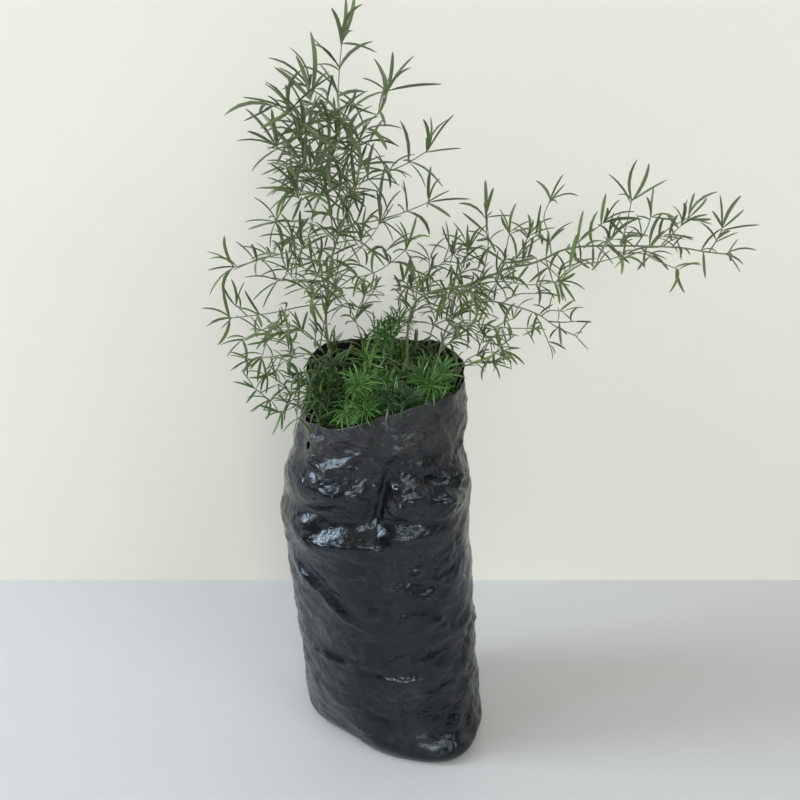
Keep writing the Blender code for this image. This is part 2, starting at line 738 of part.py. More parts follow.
def main():
    clear_scene()
    materials = {name: make_material(name) for name in MATERIALS}
    parts, cutters, repeats = (make_collection(name) for name in (COLLECTION_NAME, "cutters", "repeats"))
    give_material(make_bag(parts, cutters), materials["film"])
    give_material(make_soil(parts, cutters), materials["soil"])
    profiles = [make_profile(sides, cutters) for sides in (STEM_SIDES, SPRAY_SIDES)]
    grown = Grown()
    lines = {name: grow_axes(name, plant, grown) for name, plant in PLANTS.items()}
    for name, plant in PLANTS.items():
        grow_extra_sprays(name, plant, lines[name], grown)
    for name, plant in PLANTS.items():
        cladodes = grow_cladodes(name, plant, lines[name], grown)
        made = make_plant(name, plant, lines[name], cladodes, profiles, parts, repeats)
        give_material(made, materials[plant["material"]])


main()
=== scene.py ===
"""The looks of a potted asparagus fern in a black film nursery bag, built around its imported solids.

Metres, +Z up, the bag's flat underside on z = 0, the viewing side at -Y. The bag's form and the growth of the
stems repeat the rules of the solids, so that every finer piece stays where its node is. Routes, heights and
sizes of the bag's form are written in millimetres, like those of the solids.
"""

import math
import random
from typing import NamedTuple

import bmesh
import bpy
import numpy as np
from mathutils import Matrix, Vector, noise

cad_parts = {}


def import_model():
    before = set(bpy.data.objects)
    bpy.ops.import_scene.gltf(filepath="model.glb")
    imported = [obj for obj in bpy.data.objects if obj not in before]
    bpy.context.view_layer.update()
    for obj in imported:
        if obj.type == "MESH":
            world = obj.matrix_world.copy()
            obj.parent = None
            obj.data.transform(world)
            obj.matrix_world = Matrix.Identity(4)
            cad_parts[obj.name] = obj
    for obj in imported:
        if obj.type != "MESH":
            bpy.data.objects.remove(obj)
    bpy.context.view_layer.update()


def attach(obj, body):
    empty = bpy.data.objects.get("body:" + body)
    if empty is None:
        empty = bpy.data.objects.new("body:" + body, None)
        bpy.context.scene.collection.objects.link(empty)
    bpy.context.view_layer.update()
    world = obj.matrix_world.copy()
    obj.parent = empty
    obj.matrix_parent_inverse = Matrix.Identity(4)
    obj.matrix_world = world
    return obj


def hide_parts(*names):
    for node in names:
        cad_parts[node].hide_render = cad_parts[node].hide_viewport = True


MM = 0.001

# The camera of the photo, and the line where the backdrop meets the floor.
CAMERA_PLACE = (0.004, -0.668, 0.522)
CAMERA_TILT = math.radians(67.5)
CAMERA_LENS = 49.5
CAMERA_SENSOR = 36.0
BACKDROP_Y = 0.174
STAGE_HALF = 3.0
BACKDROP_HEIGHT = 2.6
LIGHT_TARGET = (0, 0, 0.2)
WORLD_LOW = (0.12, 0.12, 0.12, 1.0)
WORLD_HIGH = (0.545, 0.525, 0.44, 1.0)
WORLD_RISE = (0.05, 0.9)

# Each soft light: its place, its side, its power and its tint.
LIGHTS = {
    "window_left": ((-2.2, 0.1, 1.6), 1.4, 100, (0.85, 0.9, 1.0)),
    "window_near": ((-1.9, -0.95, 1.5), 0.45, 8, (0.82, 0.92, 1.0)),
    "window_front": ((0.4, -3.2, 1.4), 1.3, 41, (1.0, 0.985, 0.94)),
    "window_right": ((1.8, -1.9, 2.1), 1.5, 26, (0.9, 0.93, 0.92)),
    "ceiling": ((0.3, -1.7, 2.9), 2.6, 5, (1.0, 0.95, 0.84)),
}

# The bag's plain form, as in the solids.
FILM = 0.8 * MM
SECTION_HEIGHTS = [0, 5, 18, 45, 110, 150, 175, 196, 216, 240, 275]
CENTRE_X = [0, 0, -1.5, -3.5, -9, -12, -13.5, -12, -9.5, -6, -6]
CENTRE_Y = [0, 0, 0, 0, 1, 1, 1, 0, 0, 0, 0]
LONG_HALF = [62, 66, 67, 66, 66, 66, 67, 64, 57.5, 54.5, 53.5]
SHORT_HALF = [53, 57, 57.5, 57.5, 58.5, 59.5, 60.5, 59, 53.5, 50.5, 49.5]
TURN = [-35, -35, -35, -33, -30, -28, -26, -24, -20, -15, -12]
SECTIONS = (CENTRE_X, CENTRE_Y, LONG_HALF, SHORT_HALF, TURN)
RIM_ANGLES = [0, 25, 90, 150, 172, 186, 212, 236, 252, 270, 300, 340, 360]
RIM_HEIGHTS = [264, 271, 270, 271, 262, 241, 239, 243, 249, 256, 261, 262, 264]

# Each form: its angle, its height, its half widths in degrees and mm, and how far it stands out in mm.
FILM_FORMS = [
    (237, 182, 42, 9, -6.5), (268, 194, 12, 20, -8.0), (312, 192, 28, 14, 3.0), (212, 203, 28, 9, 2.0),
    (237, 162, 58, 8, 2.5), (150, 180, 35, 12, -4.0), (60, 172, 45, 9, -4.0), (20, 120, 20, 25, 1.5),
    (250, 90, 40, 10, -1.5), (300, 45, 35, 12, -1.5), (303, 2, 25, 18, 11.0), (228, 0, 26, 22, -8.0),
    (140, 2, 28, 18, 5.0),
]

# The hole punched near the rim, by its angle and height.
PUNCHED_RADIUS = 2.5 * MM
PUNCH_SIDES = 24
PUNCH_LENGTH = 12 * MM
PUNCHED_HOLES = [(210, 224)]

# The fine film: its grid, its thickness, and the folds and crushed patches that the plain form leaves out.
FILM_COLUMNS = 260
FILM_ROWS = 166
COLLAR_FROM = 190
TALLEST = 271
THIN_FILM = 0.3 * MM
BASE_SHARES = [0.94, 0.8, 0.6, 0.35]
RIM_WAVES = 1.6
RIM_WAVE_SIZES = (0.25, 0.07)
FADE_FROM_BASE = 12
MEAN_RADIUS = 63

# How far a fold runs past its ends, how blunt its sides are, and how it fades towards its ends.
FOLD_REACH = 1.25
FOLD_SOFTNESS = 1.4
FOLD_TAPER = 0.8

# Each fold: angle and height of its two ends, half width in mm, and how far it stands out in mm.
FOLDS = [
    (216, 157, 256, 170, 4, 1.2), (238, 166, 282, 171, 4, 1.4), (222, 184, 256, 192, 5, -1.2),
    (203, 178, 256, 206, 6, 2.2), (214, 172, 246, 184, 4, 0.8), (209, 138, 230, 124, 2.4, 3.0),
    (226, 127, 246, 110, 2.4, 2.6), (214, 146, 250, 116, 3.5, -1.8), (286, 149, 297, 151, 3.0, 2.6),
    (298, 141, 310, 138, 2.6, 2.6), (293, 130, 305, 132, 2.6, 2.5), (310, 153, 322, 157, 3, 1.5),
    (216, 73, 238, 74, 3.0, 3.4), (235, 70, 300, 68, 5, -1.8), (238, 64, 306, 66, 4, 1.2),
    (201, 78, 212, 75, 4, 1.8), (207, 56, 234, 44, 4, -1.4), (210, 50, 240, 34, 6, 1.2),
    (288, 83, 336, 88, 4, -1.8), (292, 90, 338, 96, 4, 1.4), (271, 116, 304, 114, 3, 1.2),
    (297, 109, 308, 107, 2.6, 2.4), (303, 101, 313, 100, 2.4, 2.4), (234, 77, 266, 79, 4, -1.4),
    (262, 100, 300, 105, 5, 1.0), (252, 128, 282, 124, 6, -1.0), (250, 236, 266, 234, 2.2, 1.4),
    (272, 228, 286, 234, 2.4, 1.8), (286, 234, 304, 228, 2.6, 1.4), (300, 226, 326, 206, 5, -1.6),
    (206, 230, 236, 226, 4, 1.2), (222, 214, 252, 219, 3, 1.4), (304, 250, 326, 222, 4, 1.6),
    (276, 246, 300, 240, 4, -1.6), (283, 214, 279, 182, 4, 2.0), (277, 222, 270, 176, 4.2, -5.5),
    (262, 206, 259, 180, 4, 1.4), (272, 184, 312, 181, 3, -2.4), (274, 176, 314, 174, 3.4, 2.4),
    (196, 154, 214, 162, 7, -2.6), (226, 24, 262, 12, 4, 1.2), (305, 20, 322, 12, 3, -1.4),
    (248, 44, 300, 38, 5, 0.9), (294, 194, 330, 196, 6.5, 2.4), (294, 212, 326, 214, 6.5, -2.2),
]

# Each crushed patch: its angle, its height, its half widths in degrees and mm, and how crumpled it is.
CRUSHED = [
    (314, 203, 25, 17, 3.5), (292, 197, 13, 14, 2.4), (238, 172, 12, 7, 1.6), (244, 214, 12, 7, 1.3),
    (262, 232, 40, 10, 0.7), (300, 150, 30, 12, 1.0), (312, 18, 24, 14, 1.1), (330, 60, 20, 40, 0.8),
    (222, 130, 12, 20, 0.9), (226, 72, 14, 8, 1.0), (60, 200, 60, 30, 1.6), (120, 150, 50, 40, 1.2),
    (170, 90, 40, 50, 1.0), (30, 60, 50, 40, 1.0),
]

# Crumples, by the size, depth and seed of their cells, and the straight facets laid over them.
CRUMPLES = [(26, 0.8, 1), (12, -0.7, 2), (6.5, 0.75, 3)]
CRUMPLE_STRETCH = (0.72, 0.72, 1.25)
CRUMPLE_WARP = 0.45
CRUMPLE_WARP_CELLS = 1.6
CRUMPLE_LEVEL = 0.35
CRUMPLE_SHIFT = 31.7
CRUMPLE_BASE = 0.75
COLLAR_CRUMPLE = 0.7
COLLAR_HEIGHTS = [198, 222]
FACET_WAVE = 11.0
FACET_WAVE_SHARES = (0.7, 1.5)
FACET_PLANES = 4
FACET_BEND = 0.8
FACET_DEPTH = 1.25
FACET_SEED = 40
NOISE_SHIFT = 17.3

# Folds at random, soft swells, and how far the film stays inside the plain form.
LOOSE_FOLDS = 95
LOOSE_FOLD_SEED = 5
LOOSE_HEIGHTS = (8, 162)
LOOSE_SPREAD = (14, 60)
LOOSE_SLOPE = 16
LOOSE_WIDTH = (1.1, 2.8)
LOOSE_DEPTH = (0.3, 0.95)
WANDER = 2.2
WANDER_WAVE = 26
SOFT_SWELL = 0.5
SOFT_COLLAR = 1.8
SWELL_WAVE = 30
SWELL_STRETCH = (0.6, 0.6, 1.0)
INWARD = 0.9
MOST_INWARD = 3.4

# Soil: a crumbly top inside the film.
SOIL_INSET = 5.0 * MM
SOIL_HEIGHTS = [2, 8, 16, 26, 38, 60, 110, 140, 155]
SOIL_EDGE = 157.5
SOIL_MIDDLE = 164.5
SOIL_RINGS = 64
SOIL_SECTORS = 150
CRUMB = 2.4
LUMP_SIZE = 7.0
LUMP_LEVEL = 0.45
GRIT_SIZE = 2.6
GRIT_LEVEL = 0.4
GRIT_SHARE = 0.5
SOIL_SWELL = 1.6
SOIL_WAVE = 18
EDGE_FADE = 4

# Growth, as in the solids.
FOOT = 150.6
ROUTE_STEP = 16 * MM
SPRAY_STEP = 22 * MM
CLADODE_LEAN = (52, 92)
TIP_LEAN = (14, 80)
TIP_SHARE = 1.05
UPWARD = 0.07
SIDE_BY_SIDE = 1.3 * MM
FIRST_STEP = 0.2
BARE_START = 8 * MM
EXTRA_LEAN = (45, 65)
EXTRA_CLEAR_FROM = 0.2
EXTRA_END = 0.94
EXTRA_ARCH = 0.8 * MM
GROWTH_HEIGHTS = [330, 430]
GROWTH_SHARES = [0.85, 1.25]
GOLDEN_ANGLE = math.radians(137.5)
CLEAR_OF_OTHERS = 2.8 * MM
CLEAR_OF_OWN = 2.3 * MM
CLEAR_OF_CLUSTER = 1.5 * MM
CLEAR_OF_FILM = 2.0 * MM
SOIL_CLEAR = 172
TRIES = 9
TURN_STEP = 0.7
SAMPLES = 14

# Growth that only the looks have: finer tubes, and more cladodes in every cluster. The values from 0 to 1
# named reach say how far along its plant or its own length a point lies, for its colour.
FINE_STEP = 3.5 * MM
STEM_SIDES = 10
STEM_SHARE = 0.82
STEM_TIP_SHARE = 0.36
STEM_REACH = (0.0, 0.8)
SPRAY_SIDES = 7
SPRAY_RADII = (0.5 * MM, 0.3 * MM)
SPRAY_REACH = (0.55, 1.0)
SCALE_LENGTH = 1.8 * MM
SCALE_RADIUS = 0.45 * MM
SCALE_LEAN = math.radians(32)
SCALE_TURNS = (0, -1.57, -3.14, -4.71)
SCALE_REACH = [0.2, 0.6]
BLADE = [(0.0, 0.3), (0.07, 0.48), (0.2, 0.84), (0.42, 1.0), (0.66, 0.98), (0.85, 0.74), (0.95, 0.42)]
BLADE_RIB = 0.14
BLADE_KEEL = 0.36
BLADE_WIDTH = (0.5 * MM, 0.75 * MM)
BLADE_WIDENING = 0.067
BLADE_BOW = (0.02, 0.15)
BLADE_SICKLE = 0.065
BLADE_ROLL = 0.9
LEAST_LEVEL = 0.2
YOUNG_SHARE = 0.72
FILL_LEAN = (50, 104)
FILL_TIP_LEAN = (14, 98)
FILL_APART = math.radians(19)
FILL_BEFORE = -1.5
FILL_AFTER = 2.5
FILL_TRIES = 8
FILL_CHECKS = 9
DENSE_FILL = (3, 5)
TWIG_LENGTH = (8, 17)
TWIG_LEAN = (38, 72)
TWIG_FROM = 0.18
TWIG_CHECKS = 6
MOUTH_TWIG_LENGTH = (11, 22)
MOUTH_TWIG_HEIGHTS = (215, 264)

# What each kind of growth adds to its plant's seed.
CLADODE_SEED = 1
BLADE_SEED = 3
SCALE_SEED = 7
FILL_SEED = 500
TWIG_SEED = 900

# Colours, from 0 to 255, and the heights in metres between which they change.
FILM_DARK = (2, 3, 6)
FILM_HAZY = (48, 50, 58)
FILM_DUSTY = (62, 58, 55)
# Painted light showing through the thin film at the free collar, browner and paler than the black film.
FILM_LIT_THROUGH = (48, 45, 44)
FILM_WHITENED = (112, 104, 98)
FREE_HEIGHTS = (0.205, 0.232)
SOIL_TINTS = ((38, 28, 20), (84, 64, 46))
FIBRE_TINT = (126, 98, 66)
STEM_LOW_TINTS = ((112, 106, 82), (92, 92, 66))
STEM_HIGH_TINTS = ((118, 128, 96), (98, 112, 78))
FLOOR_TINT = (187, 190, 193)
BACKDROP_TINT = (231, 230, 222)
# Painted light: cladodes high against the bright backdrop are greyed for their backlit look.
BACKLIT_LEAF_GREY = (94, 104, 86)
BACKLIT_GREY_HEIGHTS = (0.3, 0.44)
# Painted shade: cladodes below these heights, in the bag's mouth, are darkened.
MOUTH_SHADE_HEIGHTS = (0.262, 0.296)

# The tint of the film's reflections, the cladodes' roughness, and the shade of the clouds on plain surfaces.
FILM_SPECULAR = (0.72, 0.9, 1.0, 1.0)
LEAF_ROUGHNESS = (0.34, 0.5)
PLAIN_SHADE = 0.96

# The tints of each look of cladode: dark, light, at the tip, and the painted shade low in the bag's mouth.
# The shaded look is the green one darkened with painted shade, for sprays deep in the mouth.
LEAF_LOOKS = {
    "green": ((52, 68, 33), (92, 112, 57), (90, 98, 58), (52, 88, 44)),
    "shaded": ((34, 58, 30), (66, 98, 52), (72, 92, 54), (44, 78, 42)),
    "young": ((42, 82, 30), (82, 124, 50), (86, 118, 54), (62, 104, 42)),
}


class Plant(NamedTuple):
    """How one plant node grows, in mm. Line 0 is its stem and the lines after it are its sprays."""

    foot: tuple
    seed: int
    blade: tuple  # the least and the greatest length of its cladodes
    extra: tuple  # how many short sprays a rule adds, and their least and greatest length
    route: list
    sprays: list = []
    radius: float = 1.0
    leafy_from: float = 0.62  # the share of the stem below its first cluster
    spacing: int = 14
    cluster: int = 2
    fill: tuple = (2, 3)  # cladodes that the looks add to a cluster and to the star at a tip
    twigs: list = []  # each line that carries short twigs which the solids leave out, and how many
    mouth_twigs: int = 0  # such twigs low on the stem, inside the bag's mouth
    dense_lines: tuple = ()  # lines of the dense clump at the upper left, which get DENSE_FILL instead
    slot: str = "foliage"
    look: str = "green"
    # The darker shifts are painted shade on the young shoots at the rear and right of the mouth.
    tone_shift: float = 0  # added to the tone of each cladode, to darken or lighten the plant


def young_shoot(spacing=11, fill=(8, 16), **own):
    """A bright, thickly leaved shoot in the bag's mouth."""
    return Plant(radius=0.9, spacing=spacing, cluster=3, blade=(12, 19), fill=fill, slot="young_foliage",
                 look="young", **own)


def shaded_spray(**own):
    """A thickly leaved spray in the bag's mouth, darkened with painted shade."""
    return Plant(radius=0.9, leafy_from=0.66, spacing=12, cluster=3, blade=(11, 18), extra=(3, 10, 16),
                 fill=(7, 10), look="shaded", **own)


# The routes of stems and sprays were placed from the photo.
PLANTS = {
    "stem_upright": Plant(
        foot=(-20, 14), seed=11, radius=1.5, leafy_from=0.5, spacing=15, blade=(16, 26), extra=(5, 16, 28),
        mouth_twigs=10,
        twigs=[(8, 3), (9, 2), (14, 3), (15, 3), (16, 4), (10, 1), (11, 2), (12, 1), (13, 1), (17, 1),
               (18, 1), (7, 1)],
        dense_lines=(8, 9, 14, 15, 16),
        route=[(-26, 18, 200), (-39, 24, 248), (-45, 26, 285), (-44, 27, 305), (-42, 26, 326),
               (-38, 24, 342), (-30, 20, 365), (-24, 18, 381), (-21, 16, 397), (-21, 16, 410),
               (-26, 14, 423), (-34, 12, 430), (-44, 10, 439), (-51, 8, 443)],
        sprays=[
            [(-30, 20, 365), (-29, 28, 397), (-30, 30, 418), (-34, 30, 433), (-33, 27, 450),
             (-31, 26, 468)],
            [(-21, 16, 411), (-14, 8, 424), (-7, 2, 431), (-3, -4, 443)],
            [(-21, 16, 411), (-14, 25, 406), (-9, 32, 399), (-5, 36, 388)],
            [(-23, 18, 383), (-13, 12, 389), (6, 4, 398), (21, -2, 408)],
            [(-33, 22, 356), (-12, 16, 361), (6, 8, 368), (22, 2, 376)],
            [(-42, 26, 326), (-32, 36, 329), (-17, 50, 340), (-9, 54, 351)],
            [(-42, 26, 326), (-25, 10, 326), (-8, -8, 336), (8, -20, 352)],
            [(-38, 24, 342), (-40, 10, 371), (-45, 2, 392), (-50, -8, 414), (-60, -14, 434)],
            [(-45, 2, 392), (-54, -6, 400), (-69, -16, 413)],
            [(-37, 24, 345), (-49, 34, 353), (-61, 42, 354), (-79, 52, 352)],
            [(-39, 24, 340), (-55, 10, 345), (-73, -4, 344), (-98, -18, 340)],
            [(-42, 26, 322), (-56, 40, 310), (-64, 48, 309), (-73, 56, 318)],
            [(-44, 27, 303), (-61, 20, 303), (-79, 10, 302), (-104, -4, 303)],
            [(-24, 18, 380), (-37, 30, 384), (-60, 40, 395)],
            [(-27, 19, 373), (-39, 6, 379), (-58, -10, 386)],
            [(-22, 15, 406), (-32, 2, 408), (-52, -6, 419)],
            [(-41, 25, 332), (-55, 34, 331), (-82, 40, 331)],
            [(-43, 26, 313), (-52, 6, 325), (-72, -12, 330)],
        ]),
    "stem_arching": Plant(
        foot=(6, 8), seed=23, radius=1.5, leafy_from=0.42, spacing=15, blade=(14, 24), extra=(5, 14, 24),
        fill=(1, 2), mouth_twigs=10,
        twigs=[(0, 4), (8, 1), (9, 2), (10, 4), (11, 4), (12, 3), (13, 1), (1, 1), (2, 1), (3, 1), (16, 4)],
        dense_lines=(10, 11, 12),
        route=[(8, 9, 215), (9, 10, 255), (9, 10, 290), (14, 13, 308), (25, 14, 315), (36, 12, 318),
               (49, 10, 321), (61, 8, 327), (73, 4, 334), (84, 0, 337), (94, -4, 342), (103, -8, 348),
               (114, -10, 351), (126, -12, 352), (150, -16, 353), (173, -20, 353), (188, -22, 351),
               (201, -24, 350)],
        sprays=[
            [(56, 9, 325), (60, 14, 347), (58, 18, 364)],
            [(68, 6, 332), (70, -6, 352), (71, -10, 361)],
            [(97, -6, 345), (96, 0, 356), (93, 4, 366), (97, 8, 376)],
            [(108, -9, 350), (118, -20, 362), (125, -26, 370)],
            [(138, -14, 353), (141, -12, 364), (144, -8, 380)],
            [(147, -16, 353), (150, -26, 365), (151, -32, 375)],
            [(156, -17, 353), (167, -8, 361), (182, 0, 367)],
            [(108, -10, 350), (112, -20, 344), (123, -30, 347), (137, -36, 353)],
            [(49, 10, 321), (66, -10, 329), (83, -24, 331), (100, -34, 336)],
            [(14, 13, 308), (17, 30, 320), (30, 38, 326), (40, 40, 334)],
            [(30, 13, 317), (39, -4, 319), (50, -16, 324)],
            [(36, 12, 318), (44, 22, 328), (49, 28, 340)],
            [(73, 4, 334), (80, 14, 341), (86, 20, 350)],
            [(190, -22, 351), (194, -24, 360), (196, -24, 367)],
            [(150, -16, 353), (155, -24, 348), (171, -30, 342)],
            [(9, 11, 296), (14, 0, 312), (10, -10, 326)],
        ]),
    "stem_trailing": Plant(
        foot=(20, -2), seed=35, radius=1.2, leafy_from=0.48, spacing=15, blade=(11, 19), extra=(3, 14, 24),
        fill=(0, 0),
        route=[(23, 2, 215), (28, 10, 262), (36, 17, 292), (56, 20, 306), (76, 24, 303), (95, 26, 296),
               (108, 26, 287), (122, 24, 281)],
        sprays=[
            [(48, 19, 301), (58, 30, 308), (72, 38, 310)],
            [(70, 23, 304), (80, 18, 312), (94, 14, 314)],
            [(97, 26, 294), (104, 34, 296), (114, 38, 294)],
            [(102, 26, 291), (110, 18, 293), (118, 14, 295)],
        ]),
    "stem_low_right": Plant(
        foot=(14, -12), seed=41, leafy_from=0.6, blade=(12, 20), extra=(3, 12, 22), mouth_twigs=7,
        twigs=[(0, 3), (1, 1)],
        route=[(18, -12, 215), (24, -10, 255), (30, -10, 285), (40, -12, 302), (56, -18, 303),
               (70, -23, 303), (84, -27, 304)],
        sprays=[
            [(46, -14, 302), (54, -24, 296), (66, -32, 294)],
        ]),
    "spray_left_upper": Plant(
        foot=(-29, 10), seed=53, radius=1.1, blade=(14, 22), extra=(3, 14, 24), fill=(1, 3), mouth_twigs=9,
        twigs=[(0, 2), (1, 1)],
        route=[(-33, 12, 200), (-40, 15, 248), (-47, 15, 274), (-58, 9, 290), (-69, 4, 296),
               (-82, -4, 296), (-96, -12, 291)],
        sprays=[
            [(-53, 12, 284), (-66, 20, 289), (-80, 26, 286)],
        ]),
    "spray_left_middle": Plant(
        foot=(-22, 4), seed=61, blade=(12, 20), extra=(3, 12, 20), fill=(1, 3), mouth_twigs=9,
        twigs=[(0, 2)],
        route=[(-28, 4, 200), (-40, 4, 250), (-50, 0, 274), (-62, -6, 280), (-76, -14, 281),
               (-92, -20, 281)]),
    "spray_left_lower": Plant(
        foot=(-20, -8), seed=72, leafy_from=0.6, blade=(12, 19), extra=(2, 12, 18), mouth_twigs=9,
        twigs=[(0, 1), (1, 1)],
        route=[(-26, -12, 200), (-38, -18, 236), (-48, -22, 254), (-58, -26, 261), (-68, -30, 261),
               (-78, -34, 259)],
        sprays=[
            [(-48, -22, 254), (-57, -34, 257), (-70, -42, 254)],
        ]),
    "spray_right": Plant(
        foot=(26, 6), seed=83, leafy_from=0.66, blade=(10, 17), extra=(3, 12, 18), fill=(1, 2),
        mouth_twigs=14, twigs=[(0, 2)],
        route=[(32, 6, 215), (40, 4, 255), (47, 2, 272), (58, -2, 279), (69, -6, 281)]),
    "shoot_young_front": young_shoot(
        foot=(-12, -14), seed=91, leafy_from=0.64, spacing=12, extra=(3, 10, 16),
        twigs=[(0, 3), (1, 1), (2, 1)], tone_shift=0.15,
        route=[(-14, -20, 205), (-18, -28, 238), (-23, -35, 257), (-28, -43, 262), (-30, -52, 259)]),
    "shoot_young_middle": young_shoot(
        foot=(-6, -6), seed=97, leafy_from=0.66, extra=(3, 10, 18), mouth_twigs=3,
        twigs=[(0, 4), (1, 1), (2, 1)],
        route=[(-8, -8, 210), (-11, -12, 245), (-14, -15, 268), (-17, -20, 281)]),
    "shoot_young_rear": young_shoot(
        foot=(-4, 18), seed=104, leafy_from=0.64, extra=(3, 10, 18), mouth_twigs=6,
        # Painted shade on the rear shoot.
        twigs=[(0, 4), (1, 1), (2, 1)], tone_shift=-0.25,
        route=[(-4, 20, 210), (-3, 24, 245), (-1, 22, 275), (0, 20, 292)]),
    "shoot_young_right": young_shoot(
        foot=(12, -22), seed=109, leafy_from=0.66, extra=(3, 10, 18), fill=(8, 14), mouth_twigs=3,
        # Painted shade on the right shoot, deep in the mouth.
        twigs=[(0, 4), (1, 1), (2, 1)], tone_shift=-0.7,
        route=[(15, -24, 210), (21, -27, 240), (27, -28, 262), (31, -30, 276)]),
    "spray_mouth_left": shaded_spray(
        foot=(-32, -4), seed=128, mouth_twigs=13, twigs=[(0, 4), (1, 1), (2, 1)],
        route=[(-36, -8, 205), (-42, -12, 232), (-45, -11, 258)]),
    "spray_mouth_front": shaded_spray(
        foot=(0, -24), seed=131, mouth_twigs=6, twigs=[(0, 4), (1, 1), (2, 1)],
        route=[(0, -30, 205), (3, -36, 234), (6, -40, 262)]),
    "spray_rear_left": Plant(
        foot=(-12, 30), seed=139, leafy_from=0.55, blade=(13, 21), extra=(3, 12, 20), mouth_twigs=11,
        twigs=[(0, 1), (1, 1)],
        route=[(-15, 32, 210), (-19, 35, 250), (-23, 39, 277), (-30, 50, 292), (-38, 66, 301),
               (-44, 84, 303)],
        sprays=[
            [(-27, 45, 286), (-20, 58, 294), (-14, 72, 298)],
        ]),
    "spray_rear_right": Plant(
        foot=(16, 24), seed=149, leafy_from=0.55, blade=(13, 21), extra=(3, 12, 20), mouth_twigs=12,
        twigs=[(0, 1), (1, 1)],
        route=[(18, 27, 210), (21, 30, 250), (24, 33, 277), (31, 44, 291), (42, 60, 298), (52, 74, 297)],
        sprays=[
            [(28, 40, 287), (24, 56, 293), (20, 72, 297)],
        ]),
}


def metres(point):
    return Vector(point) * MM


# Helpers for meshes

class Shape:
    """Points and faces of one or more closed bodies made of rings, with a few values at each point."""

    def __init__(self, *names):
        self.points = []
        self.faces = []
        self.values = {name: [] for name in names}

    def add(self, rings, end_point=None, **values):
        """A body through rings of points, closed at the first ring, and at the last or in a point."""
        first = len(self.points)
        count = len(rings[0])
        for ring in rings:
            self.points.extend(ring)
        for low in range(len(rings) - 1):
            base = first + low * count
            for k in range(count):
                after = (k + 1) % count
                self.faces.append((base + k, base + count + k, base + count + after, base + after))
        self.faces.append(tuple(range(first, first + count)))
        last = first + (len(rings) - 1) * count
        if end_point is None:
            self.faces.append(tuple(reversed(range(last, last + count))))
        else:
            tip = len(self.points)
            self.points.append(end_point)
            for k in range(count):
                self.faces.append((last + k, tip, last + (k + 1) % count))
        for name, rows in values.items():
            for k, row in enumerate(rows):
                repeats = count if k < len(rings) else 1
                self.values[name].extend(row if isinstance(row, list) else [row] * repeats)

    def link(self, name, material, smooth_below):
        mesh = bpy.data.meshes.new(name)
        mesh.from_pydata([tuple(point) for point in self.points], [], self.faces)
        for key, values in self.values.items():
            layer = mesh.attributes.new(key, "FLOAT", "POINT")
            layer.data.foreach_set("value", values)
        mesh.update()
        return link_mesh(name, mesh, material, smooth_below)


def link_object(name, data):
    made = bpy.data.objects.new(name, data)
    bpy.context.scene.collection.objects.link(made)
    return made


def link_mesh(name, mesh, material, smooth_below=40):
    made = link_object(name, mesh)
    mesh.materials.append(material)
    mesh.shade_smooth()
    mesh.set_sharp_from_angle(angle=math.radians(smooth_below))
    return made


def place(piece, node):
    """The piece rides on the one body and stands for its node, which is hidden."""
    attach(piece, "root")
    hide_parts(node)


def noise_at(points, size, seed):
    """Smooth noise from about -1 to 1 at each point. Its waves are about the given size long, in mm."""
    places = np.asarray(points) / size + NOISE_SHIFT * seed
    return np.array([noise.noise(spot) for spot in places.reshape(-1, 3)]).reshape(places.shape[:-1])


def smooth_interp(at, places, values):
    """A smooth curve through a table: cubic pieces, with slopes taken from the neighbours."""
    places, values = np.asarray(places, float), np.asarray(values, float)
    slopes = np.gradient(values, places)
    k = np.clip(np.searchsorted(places, at) - 1, 0, len(places) - 2)
    span = places[k + 1] - places[k]
    t = np.clip((at - places[k]) / span, 0, 1)
    start = values[k] * (1 + 2 * t) * (1 - t) ** 2 + slopes[k] * span * t * (1 - t) ** 2
    return start + values[k + 1] * t**2 * (3 - 2 * t) + slopes[k + 1] * span * t**2 * (t - 1)


# The bag's plain form

def section_at(height):
    """Centre, half axes and turn of the oval at a height in mm."""
    values = [np.interp(height, SECTION_HEIGHTS, row) for row in SECTIONS]
    return (*values[:4], math.radians(values[4]))


def degrees_off(angles, middle):
    """How far angles lie from a middle one, from -180 to 180."""
    return (angles - middle + 180) % 360 - 180


def patches(angles, heights, forms, total=0.0):
    """Soft-edged patches added to a first value: angle, height, half widths and depth of each."""
    for angle, height, half_angle, half_height, depth in forms:
        off = degrees_off(angles, angle)
        total = total + depth * np.exp(-((off / half_angle) ** 2) - ((heights - height) / half_height) ** 2)
    return total


def film_point(angle, height):
    """A point of the film's outer face, in metres."""
    x, y, long_half, short_half, turn = section_at(height)
    around = math.radians(angle) - turn
    out = Vector((long_half * math.cos(around), short_half * math.sin(around), 0))
    out *= 1 + patches(angle, height, FILM_FORMS) / out.length
    return (Vector((x, y, height)) + Matrix.Rotation(turn, 3, "Z") @ out) * MM


def rim_height(angle):
    return float(np.interp(angle % 360, RIM_ANGLES, RIM_HEIGHTS))


def film_grid(angles, heights):
    """Smoothed points of the plain form in mm, and the level directions in which they stand out."""
    x, y, long_half, short_half, turn = (smooth_interp(heights, SECTION_HEIGHTS, row) for row in SECTIONS)
    turn = np.radians(turn)
    around = np.radians(angles) - turn
    along, across = long_half * np.cos(around), short_half * np.sin(around)
    out = np.stack([along * np.cos(turn) - across * np.sin(turn),
                    along * np.sin(turn) + across * np.cos(turn), np.zeros_like(along)], axis=-1)
    length = np.linalg.norm(out, axis=-1, keepdims=True)
    points = np.stack([x + out[..., 0], y + out[..., 1], heights + np.zeros_like(x)], axis=-1)
    out /= length
    return points + out * patches(angles, heights, FILM_FORMS)[..., None], out


# The film

